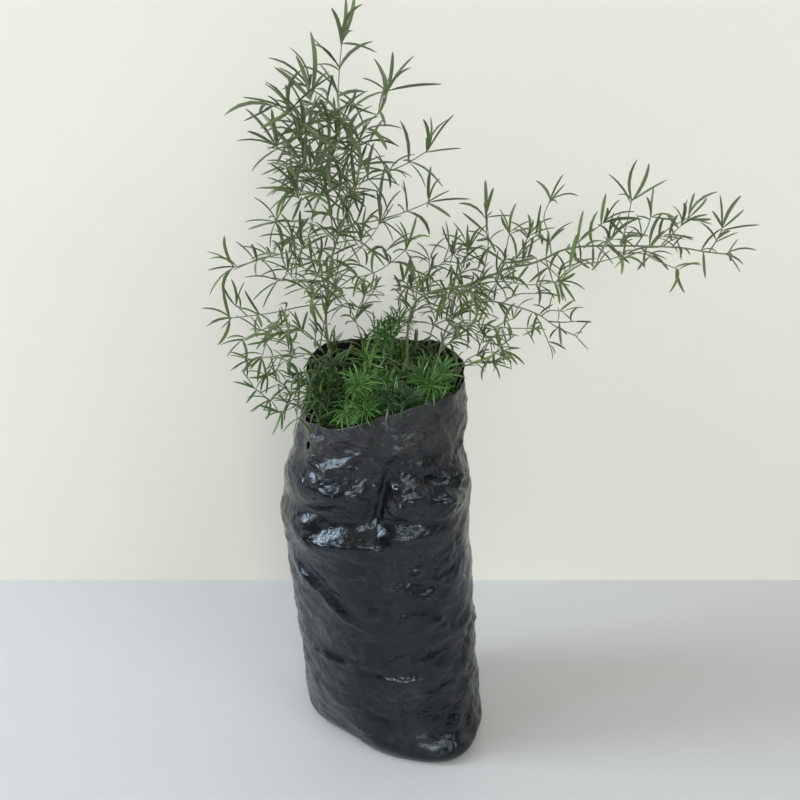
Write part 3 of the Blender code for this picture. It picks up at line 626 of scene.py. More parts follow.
def fold_relief(angles, heights, fold, wander):
    """One fold: a soft-sided crest or valley along a line on the film, in mm."""
    angle_a, height_a, angle_b, height_b, half_width, depth = fold
    middle = (angle_a + angle_b) / 2
    scale = math.radians(MEAN_RADIUS)
    across = degrees_off(angles, middle) * scale
    up = heights - (height_a + height_b) / 2 + wander
    half = np.array([(angle_b - angle_a) / 2 * scale, (height_b - height_a) / 2])
    length = np.linalg.norm(half)
    along = (across * half[0] + up * half[1]) / length
    off = np.abs(across * half[1] - up * half[0]) / length
    ends = np.clip(FOLD_REACH - np.abs(along) / length, 0, 1)
    return depth * np.exp(-((off / half_width) ** FOLD_SOFTNESS)) * ends**FOLD_TAPER


def loose_folds():
    """Long, nearly level folds where the film has slid over the soil, at random all round."""
    chance = random.Random(LOOSE_FOLD_SEED)
    folds = []
    for _ in range(LOOSE_FOLDS):
        angle = chance.uniform(0, 360)
        height = chance.uniform(*LOOSE_HEIGHTS)
        reach = chance.uniform(*LOOSE_SPREAD) / 2
        rise = chance.uniform(-LOOSE_SLOPE, LOOSE_SLOPE) / 2
        depth = chance.choice((-1, 1)) * chance.uniform(*LOOSE_DEPTH)
        width = chance.uniform(*LOOSE_WIDTH)
        folds.append((angle - reach, height - rise, angle + reach, height + rise, width, depth))
    return folds


def crumple(points, strength):
    """Sharp ridges and valleys with smooth facets between them, as in crumpled film, in mm."""
    places = points * CRUMPLE_STRETCH
    total = np.zeros(points.shape[:-1])
    for cell, depth, seed in CRUMPLES:
        fields = [noise_at(places, CRUMPLE_WARP_CELLS * cell, 10 * seed + k) for k in range(3)]
        spots = places / cell + CRUMPLE_WARP * np.stack(fields, axis=-1) + CRUMPLE_SHIFT * seed
        gaps = [noise.voronoi(spot)[0] for spot in spots.reshape(-1, 3)]
        ridges = np.array([near[1] - near[0] - CRUMPLE_LEVEL for near in gaps])
        total += depth * ridges.reshape(total.shape)
    return (total + FACET_DEPTH * facets(points)) * strength


def facets(points):
    """Flat facets with straight edges: a few zigzag folds laid over each other in different directions."""
    chance = random.Random(FACET_PLANES)
    total = np.zeros(points.shape[:-1])
    for k in range(FACET_PLANES):
        direction = np.array([chance.gauss(0, 1) for _ in range(3)])
        direction /= np.linalg.norm(direction)
        wave = FACET_WAVE * chance.uniform(*FACET_WAVE_SHARES)
        phase = points @ direction / wave + FACET_BEND * noise_at(points, 3 * wave, FACET_SEED + k)
        total += np.abs(phase % 2 - 1) - 0.5
    return total / math.sqrt(FACET_PLANES)


def fine_relief(angles, heights, points):
    """Folds, swells and crumples on top of the plain form, in mm."""
    collar = np.interp(heights, COLLAR_HEIGHTS, [0, 1])
    wander = WANDER * noise_at(points, WANDER_WAVE, seed=3)
    swell = SOFT_SWELL + SOFT_COLLAR * collar
    relief = swell * noise_at(points * SWELL_STRETCH, SWELL_WAVE, seed=1) - INWARD
    for fold in FOLDS + loose_folds():
        relief += fold_relief(angles, heights, fold, wander)
    relief += crumple(points, patches(angles, heights, CRUSHED, CRUMPLE_BASE + COLLAR_CRUMPLE * collar))
    least = np.where(heights < SOIL_EDGE, -MOST_INWARD, -np.inf)
    return np.maximum(relief, least) * np.clip(heights / FADE_FROM_BASE, 0, 1)


def film_columns():
    """Angles and heights of the fine grid. The upper rows follow the uneven rim."""
    angles = np.arange(FILM_COLUMNS) * 360 / FILM_COLUMNS
    circle = np.stack([np.cos(np.radians(angles)), np.sin(np.radians(angles)), angles * 0], axis=-1)
    rim = smooth_interp(angles, RIM_ANGLES, RIM_HEIGHTS)
    long_wave, short_wave = RIM_WAVE_SIZES
    rim = rim + RIM_WAVES * (noise_at(circle, long_wave, seed=2) + 0.5 * noise_at(circle, short_wave, seed=4))
    level = np.linspace(0, TALLEST, FILM_ROWS)[:, None]
    share = np.clip((level - COLLAR_FROM) / (TALLEST - COLLAR_FROM), 0, 1)
    heights = np.where(level < COLLAR_FROM, level, COLLAR_FROM + share * (rim - COLLAR_FROM))
    return np.broadcast_to(angles, heights.shape), heights


def make_film(material):
    """The bag: one thin film tube with a closed base, its folds, crushed patches and punched hole."""
    angles, heights = film_columns()
    points, out = film_grid(angles, heights)
    points = points + out * fine_relief(angles, heights, points)[..., None]
    middle = points[0].mean(axis=0)
    base = [middle + (points[0] - middle) * share for share in reversed(BASE_SHARES)]
    rings = np.concatenate([np.array(base), points]) * MM
    made = bmesh.new()
    rows = [[made.verts.new(point) for point in ring] for ring in rings]
    for low, high in zip(rows, rows[1:]):
        for k in range(FILM_COLUMNS):
            after = (k + 1) % FILM_COLUMNS
            made.faces.new((low[k], low[after], high[after], high[k]))
    made.faces.new(list(reversed(rows[0])))
    mesh = bpy.data.meshes.new("grow_bag_film")
    made.to_mesh(mesh)
    made.free()
    film = link_mesh("grow_bag_film", mesh, material, smooth_below=180)
    thicken = film.modifiers.new("film", "SOLIDIFY")
    thicken.thickness = THIN_FILM
    thicken.offset = -1
    for angle, height in PUNCHED_HOLES:
        punch(film, angle, height)
    apply_modifiers(film)
    place(film, "grow_bag")


def punch(film, angle, height):
    """A round hole through the film, square to it."""
    made = bmesh.new()
    bmesh.ops.create_cone(made, cap_ends=True, segments=PUNCH_SIDES, radius1=PUNCHED_RADIUS,
                          radius2=PUNCHED_RADIUS, depth=PUNCH_LENGTH)
    mesh = bpy.data.meshes.new("punch")
    made.to_mesh(mesh)
    made.free()
    cutter = link_object("punch", mesh)
    x, y = section_at(height)[:2]
    cutter.location = film_point(angle, height)
    cutter.rotation_euler = (cutter.location - metres((x, y, height))).to_track_quat("Z", "Y").to_euler()
    cut = film.modifiers.new("punch", "BOOLEAN")
    cut.operation = "DIFFERENCE"
    cut.object = cutter


def apply_modifiers(target):
    """The modifiers' result becomes the mesh, and what they cut with is removed."""
    cutters = [modifier.object for modifier in target.modifiers if modifier.type == "BOOLEAN"]
    graph = bpy.context.evaluated_depsgraph_get()
    mesh = bpy.data.meshes.new_from_object(target.evaluated_get(graph))
    target.modifiers.clear()
    target.data = mesh
    for cutter in cutters:
        bpy.data.objects.remove(cutter)


# Soil

def make_soil(material):
    """Moist potting soil: a plain side inside the film, and a crumbly, slightly domed top."""
    angles = np.arange(SOIL_SECTORS) * 360 / SOIL_SECTORS
    rings = []
    for height in SOIL_HEIGHTS + [SOIL_EDGE]:
        points, out = film_grid(angles, np.full(SOIL_SECTORS, float(height)))
        rings.append(points - out * SOIL_INSET / MM)
    edge = rings[-1]
    middle = edge.mean(axis=0)
    for k in range(1, SOIL_RINGS):
        share = 1 - k / SOIL_RINGS
        ring = middle + (edge - middle) * share
        ring[:, 2] = SOIL_MIDDLE - (SOIL_MIDDLE - SOIL_EDGE) * share**2
        ring[:, 2] += crumbs(ring) * min(1.0, EDGE_FADE * (1 - share))
        rings.append(ring)
    shape = Shape()
    rings = [[metres(point) for point in ring[::-1]] for ring in rings]
    shape.add(rings, metres((*middle[:2], SOIL_MIDDLE)))
    soil = shape.link("soil_top", material, smooth_below=50)
    place(soil, "soil")


def crumbs(points):
    """Lumps and pits of the soil's top, in mm."""
    lumps, grit = (np.array([noise.voronoi(point / size)[0][0] for point in points])
                   for size in (LUMP_SIZE, GRIT_SIZE))
    relief = CRUMB * (LUMP_LEVEL - lumps) + CRUMB * GRIT_SHARE * (GRIT_LEVEL - grit)
    return relief + SOIL_SWELL * noise_at(points, SOIL_WAVE, seed=7)


# Growth, by the rules of the solids

def smooth_route(points, step):
    """Points about a step apart on one smooth curve through the given ones."""
    ends = [2 * points[0] - points[1], *points, 2 * points[-1] - points[-2]]
    line = []
    for before, start, end, after in zip(ends, ends[1:], ends[2:], ends[3:]):
        count = max(1, round((end - start).length / step))
        for k in range(count):
            t = k / count
            point = 2 * start + (end - before) * t
            point += (2 * before - 5 * start + 4 * end - after) * t**2
            point += (3 * start - before - 3 * end + after) * t**3
            line.append(point / 2)
    line.append(points[-1])
    return line


def nearest_on(lines, point):
    """The point of these polylines that is nearest to the given one."""
    best = None
    for line in lines:
        for a, b in zip(line, line[1:]):
            share = max(0.0, min(1.0, (point - a).dot(b - a) / (b - a).length_squared))
            found = a + (b - a) * share
            if best is None or (found - point).length < (best - point).length:
                best = found
    return best


def along(line, distance):
    """The point and the direction at a distance along a polyline."""
    for a, b in zip(line, line[1:]):
        length = (b - a).length
        if distance <= length:
            return a + (b - a) * (distance / length), (b - a).normalized()
        distance -= length
    return line[-1].copy(), (line[-1] - line[-2]).normalized()


def length_of(line):
    return sum((b - a).length for a, b in zip(line, line[1:]))


def leaning(direction, lean, roll):
    """A direction that leans from the given one by an angle, turned about it by the roll."""
    side = direction.orthogonal().normalized()
    side.rotate(Matrix.Rotation(roll, 3, direction))
    return direction * math.cos(lean) + side * math.sin(lean)


def rising(direction, lean, roll):
    """A cladode's heading: it leans from its line by an angle in degrees, and a little upwards."""
    return (leaning(direction, math.radians(lean), roll) + Vector((0, 0, UPWARD))).normalized()


def bowed(start, end):
    """A short twig's line, a little arched."""
    return [start, start.lerp(end, 0.5) + Vector((0, 0, EXTRA_ARCH)), end]


def clear_of_bag(point):
    """True where a point keeps its distance from the film and the soil."""
    height = point.z / MM
    x, y, long_half, short_half, turn = section_at(height)
    offset = Matrix.Rotation(-turn, 3, "Z") @ Vector((point.x / MM - x, point.y / MM - y, 0))
    angle = math.degrees(math.atan2(offset.y / short_half, offset.x / long_half) + turn)
    if height > rim_height(angle) + CLEAR_OF_FILM / MM:
        return True
    if height < SOIL_CLEAR:
        return False
    film = (film_point(angle, height) - metres((x, y, height))).length
    here = (point - metres((x, y, height))).length
    return here > film + CLEAR_OF_FILM or here < film - FILM - CLEAR_OF_FILM


def way_is_clear(start, end, checks):
    """True where a number of points on the way keep their distance from the film and the soil."""
    return all(clear_of_bag(start.lerp(end, (k + 1) / checks)) for k in range(checks))


class Grown:
    """What has grown so far, as straight pieces, so that new growth can keep clear of it."""

    def __init__(self):
        self.starts = []
        self.ends = []
        self.owners = []
        self.clusters = []

    def add(self, owner, line, cluster=None):
        for a, b in zip(line, line[1:]):
            self.starts.append(tuple(a))
            self.ends.append(tuple(b))
            self.owners.append(owner)
            self.clusters.append(cluster)

    def gaps(self, points):
        """The distance of each point from each piece."""
        starts = np.array(self.starts)
        spans = np.array(self.ends) - starts
        offsets = np.array([tuple(point) for point in points])[:, None, :] - starts[None]
        share = np.clip((offsets * spans).sum(-1) / (spans * spans).sum(-1), 0, 1)
        return np.linalg.norm(offsets - share[..., None] * spans, axis=-1)

    def clear(self, owner, start, end, cluster=None):
        """True where a straight piece from start to end keeps clear of all but the line it grows from."""
        points = [start.lerp(end, k / SAMPLES) for k in range(SAMPLES + 1)]
        if not all(clear_of_bag(point) for point in points[2:]):
            return False
        own = np.array([name == owner for name in self.owners])
        beside = np.array([found is not None and found == cluster for found in self.clusters]) & own
        gaps = self.gaps(points)
        carries = own & (gaps[0] < CLEAR_OF_CLUSTER) & ~beside
        for kind, first, least in (
            (~own, 0, CLEAR_OF_OTHERS),
            (beside, 5, CLEAR_OF_CLUSTER),
            (carries, 5, CLEAR_OF_CLUSTER),
            (own & ~beside & ~carries, 2, CLEAR_OF_OWN),
        ):
            if kind.any() and gaps[first:, kind].min() < least:
                return False
        return True


def grow_axes(name, plant, grown):
    """The stem's line and the lines of its side sprays, and the given points that they follow."""
    foot = [metres((*plant.foot, FOOT)), metres((*plant.foot, SOIL_CLEAR))]
    routes = [foot + [metres(point) for point in plant.route]]
    lines = [smooth_route(routes[0], ROUTE_STEP)]
    for route in plant.sprays:
        points = [metres(point) for point in route]
        points[0] = nearest_on(lines, points[0])
        routes.append(points)
        lines.append(smooth_route(points, SPRAY_STEP))
    for line in lines:
        grown.add(name, line)
    return lines, routes


def grow_extra_sprays(name, plant, lines, routes, grown):
    """Short sprays around the leafy part of the stem, where there is room."""
    count, shortest, longest = plant.extra
    chance = random.Random(plant.seed)
    stem = lines[0]
    whole = length_of(stem)
    for k in range(count):
        share = plant.leafy_from + (EXTRA_END - plant.leafy_from) * (k + 0.5) / count
        start, direction = along(stem, share * whole)
        for turn in range(TRIES):
            lean = math.radians(chance.uniform(*EXTRA_LEAN))
            heading = leaning(direction, lean, GOLDEN_ANGLE * (2 * k + turn))
            end = start + heading * chance.uniform(shortest, longest) * MM
            if grown.clear(name, start.lerp(end, EXTRA_CLEAR_FROM), end):
                lines.append(bowed(start, end))
                routes.append(lines[-1])
                grown.add(name, lines[-1])
                break


def cluster_spots(number, line, plant):
    """Where the clusters sit along a line, as distances, with the tip last."""
    whole = length_of(line)
    first = plant.leafy_from * whole if number == 0 else BARE_START
    spots = max(1, int((whole - first) / (plant.spacing * MM)))
    return [first + (whole - first) * spot / spots for spot in range(spots)] + [whole]


def clusters(plant, lines):
    """Each cluster's key, line and distance along it, and whether it is the star at the line's tip."""
    for number, line in enumerate(lines):
        spots = cluster_spots(number, line, plant)
        for spot, middle in enumerate(spots):
            yield (number, spot), line, middle, spot == len(spots) - 1


def growth_at(point):
    """How much longer or shorter cladodes grow at a point's height: those near the top are the longest."""
    return float(np.interp(point.z / MM, GROWTH_HEIGHTS, GROWTH_SHARES))


def grow_cladodes(name, plant, lines, grown):
    """The solids' cladodes, each with its start, its end and its cluster's key."""
    chance = random.Random(plant.seed + CLADODE_SEED)
    cladodes = []
    for cluster, line, middle, at_tip in clusters(plant, lines):
        number, spot = cluster
        for k in range(plant.cluster + at_tip):
            step = (k + FIRST_STEP) * SIDE_BY_SIDE
            start, direction = along(line, middle - step if at_tip else middle + step)
            for turn in range(TRIES):
                lean = chance.uniform(*(TIP_LEAN if at_tip else CLADODE_LEAN))
                roll = GOLDEN_ANGLE * (spot * 2 + k) + number + turn * TURN_STEP
                length = chance.uniform(*plant.blade) * growth_at(start) * (TIP_SHARE if at_tip else 1)
                end = start + rising(direction, lean, roll) * length * MM
                if grown.clear(name, start, end, cluster):
                    cladodes.append((start, end, cluster))
                    grown.add(name, [start, end], cluster)
                    break
    return cladodes


# Finer growth

def at_height(line, height):
    """The point and the direction where a rising line passes a height."""
    for a, b in zip(line, line[1:]):
        if a.z <= height < b.z:
            return a.lerp(b, (height - a.z) / (b.z - a.z)), (b - a).normalized()
    return line[-1].copy(), (line[-1] - line[-2]).normalized()


def grow_twigs(plant, lines, routes):
    """Short twigs that only the looks have, on the lines that the photo shows as the densest."""
    chance = random.Random(plant.seed + TWIG_SEED)
    places = []
    for number, count in plant.twigs:
        first = plant.leafy_from if number == 0 else TWIG_FROM
        whole = length_of(lines[number])
        for _ in range(count):
            places.append((along(lines[number], chance.uniform(first, 1) * whole), TWIG_LENGTH))
    for _ in range(plant.mouth_twigs):
        places.append((at_height(lines[0], chance.uniform(*MOUTH_TWIG_HEIGHTS) * MM), MOUTH_TWIG_LENGTH))
    twigs = []
    for (start, direction), lengths in places:
        for _ in range(FILL_TRIES):
            lean = math.radians(chance.uniform(*TWIG_LEAN))
            heading = leaning(direction, lean, chance.uniform(0, 2 * math.pi))
            end = start + heading * chance.uniform(*lengths) * growth_at(start) * MM
            if way_is_clear(start, end, TWIG_CHECKS):
                twigs.append(bowed(start, end))
                break
    lines.extend(twigs)
    routes.extend(twigs)


def fill_clusters(plant, lines, cladodes):
    """More cladodes in every cluster, spread between the ones that are there."""
    chance = random.Random(plant.seed + FILL_SEED)
    headings = {}
    for start, end, cluster in cladodes:
        headings.setdefault(cluster, []).append((end - start).normalized())
    more = []
    for cluster, line, middle, at_tip in clusters(plant, lines):
        beside = headings.setdefault(cluster, [])
        added = DENSE_FILL if cluster[0] in plant.dense_lines else plant.fill
        for _ in range(added[at_tip]):
            step = chance.uniform(FILL_BEFORE, 0 if at_tip else FILL_AFTER) * MM
            start, direction = along(line, middle + step)
            for _ in range(FILL_TRIES):
                lean = chance.uniform(*(FILL_TIP_LEAN if at_tip else FILL_LEAN))
                heading = rising(direction, lean, chance.uniform(0, 2 * math.pi))
                end = start + heading * chance.uniform(*plant.blade) * growth_at(start) * MM
                apart = min((heading.angle(other) for other in beside), default=math.pi)
                if apart > FILL_APART and way_is_clear(start, end, FILL_CHECKS):
                    beside.append(heading)
                    more.append((start, end, cluster))
                    break
    return more


def add_blade(shape, start, end, width, tone, chance):
    """One linear cladode: nearly even in width, keeled below, bent like a sickle, and pointed at its tip."""
    heading = (end - start).normalized()
    side = heading.cross(Vector((0, 0, 1)))
    side = side.normalized() if side.length > LEAST_LEVEL else Vector((1, 0, 0))
    side.rotate(Matrix.Rotation(chance.uniform(-BLADE_ROLL, BLADE_ROLL), 3, heading))
    up = side.cross(heading).normalized()
    lift = Vector((0, 0, 1)) - heading * heading.z
    lift = lift.normalized() * chance.uniform(*BLADE_BOW) + side * chance.gauss(0, BLADE_SICKLE)
    lift *= 4 * (end - start).length
    rings = []
    for t, share in BLADE:
        centre = start.lerp(end, t) + lift * t * (1 - t)
        half = side * width * share / 2
        rings.append([centre + half, centre + up * BLADE_RIB * width * share, centre - half,
                      centre - up * BLADE_KEEL * width * share])
    steps = [t for t, _ in BLADE] + [1.0]
    shape.add(rings, end.copy(), tone=[tone] * (len(BLADE) + 1), reach=steps,
              rib=[[0.0, 1.0, 0.0, 1.0] for _ in BLADE] + [0.5])


def ring_of(centre, heading, side, radius, turns):
    """Points around a centre, square to a heading, at the given turns from one side."""
    other = heading.cross(side)
    return [centre + (side * math.cos(turn) + other * math.sin(turn)) * radius for turn in turns]


def add_tube(shape, line, radii, sides, reach):
    """A tapering tube along a line, closed at both ends."""
    tangents = [(b - a).normalized() for a, b in zip([line[0], *line], [*line[1:], line[-1]]) if b != a]
    tangents = ([tangents[0]] + tangents)[:len(line)]
    turns = [-2 * math.pi * k / sides for k in range(sides)]
    shares = [k / (len(line) - 1) for k in range(len(line))]
    side = tangents[0].orthogonal().normalized()
    rings = []
    for point, tangent, share in zip(line, tangents, shares):
        side = (side - tangent * side.dot(tangent)).normalized()
        rings.append(ring_of(point, tangent, side, radii[0] + (radii[1] - radii[0]) * share, turns))
    shape.add(rings, reach=[reach[0] + (reach[1] - reach[0]) * share for share in shares])


def add_scale(shape, line, distance, chance):
    """The small dry scale under a cluster: a short, four-sided point that leans from the stem."""
    start, direction = along(line, distance)
    heading = leaning(direction, SCALE_LEAN, chance.uniform(0, 2 * math.pi))
    ring = ring_of(start, heading, heading.orthogonal().normalized(), SCALE_RADIUS, SCALE_TURNS)
    shape.add([ring], start + heading * SCALE_LENGTH, reach=SCALE_REACH)


def make_stems(name, plant, lines, routes, material):
    """The stem with its side sprays and their scales."""
    shape = Shape("reach")
    chance = random.Random(plant.seed + SCALE_SEED)
    for number, (line, route) in enumerate(zip(lines, routes)):
        fine = smooth_route(route, FINE_STEP)
        if number == 0:
            radius = plant.radius * STEM_SHARE * MM
            add_tube(shape, fine, (radius, radius * STEM_TIP_SHARE), STEM_SIDES, STEM_REACH)
        else:
            add_tube(shape, fine, SPRAY_RADII, SPRAY_SIDES, SPRAY_REACH)
        for distance in cluster_spots(number, line, plant)[:-1]:
            add_scale(shape, line, distance, chance)
    made = shape.link(f"{name}_axes", material, smooth_below=60)
    place(made, name)


def make_leaves(name, plant, routes, cladodes, material):
    """All cladodes of one plant, each from the fine line that carries it."""
    shape = Shape("tone", "reach", "rib")
    share = YOUNG_SHARE if plant.look == "young" else 1
    chance = random.Random(plant.seed + BLADE_SEED)
    fine = [smooth_route(route, FINE_STEP) for route in routes]
    for start, end, (number, _) in cladodes:
        root = nearest_on([fine[number]], start)
        width = chance.uniform(*BLADE_WIDTH) + BLADE_WIDENING * (end - root).length
        tone = max(0.0, chance.random() + plant.tone_shift)
        add_blade(shape, root, end, width * share, tone, chance)
    made = shape.link(f"{name}_cladodes", material, smooth_below=35)
    place(made, name)


def make_plants(materials):
    grown = Grown()
    axes = {name: grow_axes(name, plant, grown) for name, plant in PLANTS.items()}
    for name, plant in PLANTS.items():
        grow_extra_sprays(name, plant, *axes[name], grown)
    for name, plant in PLANTS.items():
        lines, routes = axes[name]
        cladodes = grow_cladodes(name, plant, lines, grown)
        grow_twigs(plant, lines, routes)
        cladodes += fill_clusters(plant, lines, cladodes)
        make_stems(name, plant, lines, routes, materials["stem"])
        make_leaves(name, plant, routes, cladodes, materials[plant.look])


# Materials

class Nodes:
    """The node tree of a material or a world, with short ways to add and join nodes."""

    def __init__(self, owner):
        owner.use_nodes = True
        self.owner = owner
        self.tree = owner.node_tree
        self.shader = self.tree.nodes.get("Principled BSDF")

    def add(self, kind, inputs=None, **settings):
        node = self.tree.nodes.new(kind)
        for key, value in settings.items():
            setattr(node, key, value)
        for key, value in (inputs or {}).items():
            self.set(node, key, value)
        return node

    def set(self, node, key, value):
        """A socket's value, or a link where the value is another node's output."""
        if isinstance(value, bpy.types.NodeSocket):
            self.tree.links.new(value, node.inputs[key])
        else:
            node.inputs[key].default_value = value

    def place(self, scale=(1, 1, 1)):
        """Object coordinates, which are the frame's own metres, scaled."""
        coordinates = self.add("ShaderNodeTexCoord")
        mapping = self.add("ShaderNodeMapping", {"Vector": coordinates.outputs["Object"], "Scale": scale})
        return mapping.outputs["Vector"]

    def noise(self, where, scale, detail=4.0, roughness=0.55, distortion=0.0):
        node = self.add("ShaderNodeTexNoise", {"Vector": where, "Scale": scale, "Detail": detail,
                                               "Roughness": roughness, "Distortion": distortion})
        return node.outputs["Fac"]

    def spread(self, value, low, high, new_low=0.0, new_high=1.0):
        node = self.add("ShaderNodeMapRange", {"Value": value, "From Min": low, "From Max": high,
                                               "To Min": new_low, "To Max": new_high})
        return node.outputs["Result"]

    def height(self):
        return self.add("ShaderNodeSeparateXYZ", {"Vector": self.place()}).outputs["Z"]

    def times(self, a, b):
        return self.add("ShaderNodeMath", {0: a, 1: b}, operation="MULTIPLY").outputs[0]

    def plus(self, a, b):
        return self.add("ShaderNodeMath", {0: a, 1: b}, operation="ADD").outputs[0]

    def mix(self, share, a, b):
        """A colour between two others."""
        return self.add("ShaderNodeMix", {0: share, 6: a, 7: b}, data_type="RGBA").outputs[2]

    def value_of(self, name):
        return self.add("ShaderNodeAttribute", attribute_name=name).outputs["Fac"]

    def bump(self, height, distance, strength=1.0):
        node = self.add("ShaderNodeBump", {"Height": height, "Distance": distance, "Strength": strength})
        self.set(self.shader, "Normal", node.outputs["Normal"])

    def finish(self, tint, roughness, **fixed):
        for key, value in {"Base_Color": tint, "Roughness": roughness, **fixed}.items():
            self.set(self.shader, key.replace("_", " "), value)
        return self.owner


def new_material(name):
    return Nodes(bpy.data.materials.new(name))


def colour(tint):
    """A colour given as display values from 0 to 255, as the shader wants it."""
    shares = [value / 255 for value in tint]
    linear = [share / 12.92 if share <= 0.04045 else ((share + 0.055) / 1.055) ** 2.4 for share in shares]
    return (*linear, 1.0)


def film_material():
    """Glossy black polythene: dusty in patches, duller at the free collar, finely crinkled. The collar's
    browner tint is painted light showing through the thin film.
    """
    nodes = new_material("black_film")
    where = nodes.place()
    blotch = nodes.spread(nodes.noise(where, 30, 6, 0.7, 0.6), 0.45, 0.72)
    level_dust = nodes.spread(nodes.noise(nodes.place((1, 1, 2)), 110, 6, 0.72), 0.42, 0.7)
    dust = nodes.times(blotch, level_dust)
    haze = nodes.spread(nodes.noise(where, 60, 7, 0.75, 1.2), 0.42, 0.72, 0.0, 0.4)
    # How strongly the painted light through the thin collar shows, in patches.
    thin = nodes.spread(nodes.noise(where, 60, 5, 0.65, 0.8), 0.36, 0.66, 0.3, 1.0)
    free = nodes.spread(nodes.height(), *FREE_HEIGHTS)
    tint = nodes.mix(haze, colour(FILM_DARK), colour(FILM_HAZY))
    tint = nodes.mix(dust, tint, colour(FILM_DUSTY))
    # The collar's paler, browner tint is painted light showing through the film.
    tint = nodes.mix(nodes.times(free, thin), tint, colour(FILM_LIT_THROUGH))
    roughness = nodes.spread(nodes.noise(where, 75, 4, 0.6), 0.3, 0.7, 0.08, 0.2)
    for layer, rise in ((dust, 0.25), (haze, 0.1), (free, 0.1)):
        roughness = nodes.plus(roughness, nodes.times(layer, rise))
    creases, bend = film_creases(nodes, where)
    ridges = nodes.spread(nodes.plus(creases, nodes.times(bend, 0.12)), 0.02, 0.24)
    crinkle = nodes.noise(nodes.place((1, 1, 1.4)), 230, 5, 0.6, 1.0)
    crinkle = nodes.times(crinkle, nodes.spread(nodes.noise(where, 40, 3, 0.6), 0.4, 0.62, 0.3, 1.0))
    nodes.bump(nodes.plus(nodes.times(ridges, 0.6), crinkle), 0.001, 0.4)
    line = nodes.spread(nodes.plus(creases, nodes.times(bend, 0.1)), 0.05, 0.09, 1.0, 0.0)
    whitened = nodes.times(nodes.times(line, free), nodes.spread(blotch, 0.2, 1.0, 0.0, 0.5))
    tint = nodes.mix(whitened, tint, colour(FILM_WHITENED))
    return nodes.finish(tint, roughness, Specular_IOR_Level=0.45, Specular_Tint=FILM_SPECULAR)


def film_creases(nodes, where):
    """The distance to a net of wandering creases, and a noise that bends them."""
    bend = nodes.noise(where, 90, 3, 0.6)
    drift = nodes.add("ShaderNodeTexNoise", {"Vector": where, "Scale": 55.0, "Detail": 4.0}).outputs["Color"]
    inputs = {0: drift, 1: (0.028, 0.028, 0.028), 2: nodes.place((1, 1, 1.5))}
    warped = nodes.add("ShaderNodeVectorMath", inputs, operation="MULTIPLY_ADD").outputs[0]
    net = nodes.add("ShaderNodeTexVoronoi", {"Vector": warped, "Scale": 80.0}, feature="DISTANCE_TO_EDGE")
    return net.outputs["Distance"], bend


def soil_material():
    """Moist potting soil: dark brown crumbs with paler fibres."""
    nodes = new_material("potting_soil")
    crumb = nodes.noise(nodes.place(), 260, 6, 0.7)
    base = nodes.mix(nodes.spread(crumb, 0.3, 0.7), *(colour(tint) for tint in SOIL_TINTS))
    fibre = nodes.spread(nodes.noise(nodes.place((1, 3, 3)), 420, 3, 0.6), 0.62, 0.72)
    tint = nodes.mix(nodes.times(fibre, 0.5), base, colour(FIBRE_TINT))
    nodes.bump(crumb, 0.0015, 0.8)
    return nodes.finish(tint, 0.93)


def leaf_material(look):
    """Cladodes: each has its own tone, is paler at its root and along its rib, and has a duller tip.

    Those high on the plant are greyer: painted light, for their backlit look against the bright backdrop.
    Those low in the bag's mouth are darker and a fuller green: painted shade.
    """
    dark, light, tip, low = (colour(tint) for tint in LEAF_LOOKS[look])
    nodes = new_material(f"cladode_{look}")
    tone, reach, rib = (nodes.value_of(key) for key in ("tone", "reach", "rib"))
    share = nodes.plus(nodes.times(tone, 0.6), nodes.times(nodes.noise(nodes.place(), 22, 2), 0.4))
    tint = nodes.mix(nodes.spread(share, 0.15, 0.85), dark, light)
    tint = nodes.mix(nodes.times(rib, 0.22), tint, light)
    # Painted light: cladodes high on the plant are greyed for their backlit look.
    tint = nodes.mix(nodes.spread(nodes.height(), *BACKLIT_GREY_HEIGHTS, 0.0, 0.4), tint, colour(BACKLIT_LEAF_GREY))
    # Painted shade: cladodes low in the bag's mouth are darker and a fuller green.
    tint = nodes.mix(nodes.spread(nodes.height(), *MOUTH_SHADE_HEIGHTS, 0.75, 0.0), tint, low)
    tint = nodes.mix(nodes.spread(reach, 0.0, 0.22, 0.6, 0.0), tint, light)
    tint = nodes.mix(nodes.spread(reach, 0.9, 1.0, 0.0, 0.6), tint, tip)
    grain = nodes.noise(nodes.place(), 900, 2)
    nodes.bump(grain, 0.0001, 0.4)
    return nodes.finish(tint, nodes.spread(grain, 0.3, 0.7, *LEAF_ROUGHNESS))


def stem_material():
    """Wiry stems: brown-green below, greener towards the tips, with fine lengthwise streaks."""
    nodes = new_material("wiry_stem")
    streak = nodes.noise(nodes.place((1, 1, 0.15)), 700, 3)
    mottle = nodes.noise(nodes.place(), 60, 3)
    low, high = (nodes.mix(mottle, *(colour(tint) for tint in tints))
                 for tints in (STEM_LOW_TINTS, STEM_HIGH_TINTS))
    tint = nodes.mix(nodes.spread(nodes.value_of("reach"), 0.0, 0.7), low, high)
    nodes.bump(streak, 0.0002, 0.6)
    return nodes.finish(tint, 0.55)


def plain_material(name, tint, roughness, front_only=False):
    """A nearly plain, faintly uneven surface. One seen from its front only hides nothing from behind."""
    nodes = new_material(name)
    cloud = nodes.noise(nodes.place(), 2.2, 3)
    darker = (*(value * PLAIN_SHADE for value in colour(tint)[:3]), 1.0)
    if front_only:
        behind = nodes.add("ShaderNodeNewGeometry").outputs["Backfacing"]
        clear = nodes.add("ShaderNodeBsdfTransparent").outputs[0]
        shown = nodes.add("ShaderNodeMixShader", {0: behind, 1: nodes.shader.outputs[0], 2: clear}).outputs[0]
        nodes.set(nodes.tree.nodes["Material Output"], 0, shown)
    return nodes.finish(nodes.mix(cloud, colour(tint), darker), roughness)


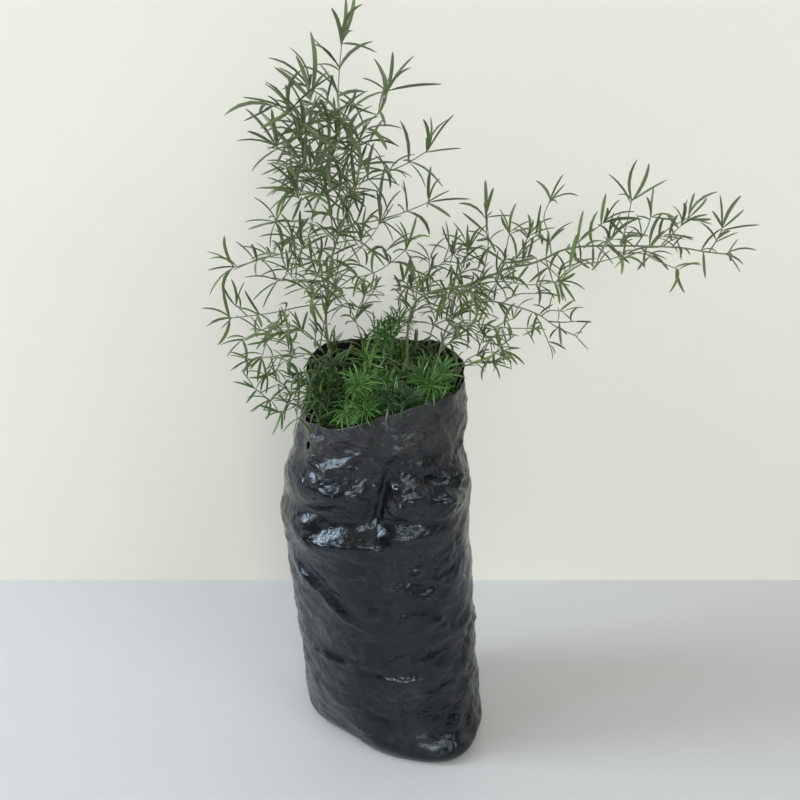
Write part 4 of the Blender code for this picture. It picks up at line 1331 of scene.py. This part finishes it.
def make_materials():
    leaves = {look: leaf_material(look) for look in LEAF_LOOKS}
    return {"film": film_material(), "soil": soil_material(), "stem": stem_material(), **leaves}


# Stage, light and camera

def make_sheet(name, corners, material):
    """A flat staged surface."""
    mesh = bpy.data.meshes.new(name)
    mesh.from_pydata(corners, [], [(0, 1, 2, 3)])
    made = link_mesh(name, mesh, material)


def make_stage():
    left, right = -STAGE_HALF, STAGE_HALF
    floor = [(left, left, 0), (right, left, 0), (right, right, 0), (left, right, 0)]
    make_sheet("floor", floor, plain_material("floor", FLOOR_TINT, 0.4))
    wall = [(x, BACKDROP_Y, z) for x, z in
            ((left, 0), (right, 0), (right, BACKDROP_HEIGHT), (left, BACKDROP_HEIGHT))]
    make_sheet("backdrop", wall, plain_material("backdrop", BACKDROP_TINT, 0.6, front_only=True))


def make_light(name, where, side, power, tint):
    """A soft, square light that looks at the bag."""
    data = bpy.data.lights.new(name, "AREA")
    data.size = side
    data.energy = power
    data.color = tint
    made = link_object(name, data)
    made.location = where
    made.rotation_euler = (Vector(LIGHT_TARGET) - Vector(where)).to_track_quat("-Z", "Y").to_euler()


def make_world():
    """Dim daylight from all round, brighter from above."""
    nodes = Nodes(bpy.data.worlds.new("daylight"))
    around = nodes.add("ShaderNodeTexCoord").outputs["Generated"]
    height = nodes.add("ShaderNodeSeparateXYZ", {0: around}).outputs["Z"]
    tint = nodes.mix(nodes.spread(height, *WORLD_RISE), WORLD_LOW, WORLD_HIGH)
    nodes.set(nodes.tree.nodes["Background"], "Color", tint)
    bpy.context.scene.world = nodes.owner


def make_camera():
    data = bpy.data.cameras.new("camera")
    data.lens = CAMERA_LENS
    data.sensor_width = CAMERA_SENSOR
    made = link_object("camera", data)
    made.location = CAMERA_PLACE
    made.rotation_euler = (CAMERA_TILT, 0, 0)
    bpy.context.scene.camera = made


def main():
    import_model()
    make_camera()
    materials = make_materials()
    make_film(materials["film"])
    make_soil(materials["soil"])
    make_plants(materials)
    make_stage()
    make_world()
    for name, light in LIGHTS.items():
        make_light(name, *light)
    bpy.context.scene.view_settings.view_transform = "Standard"


main()
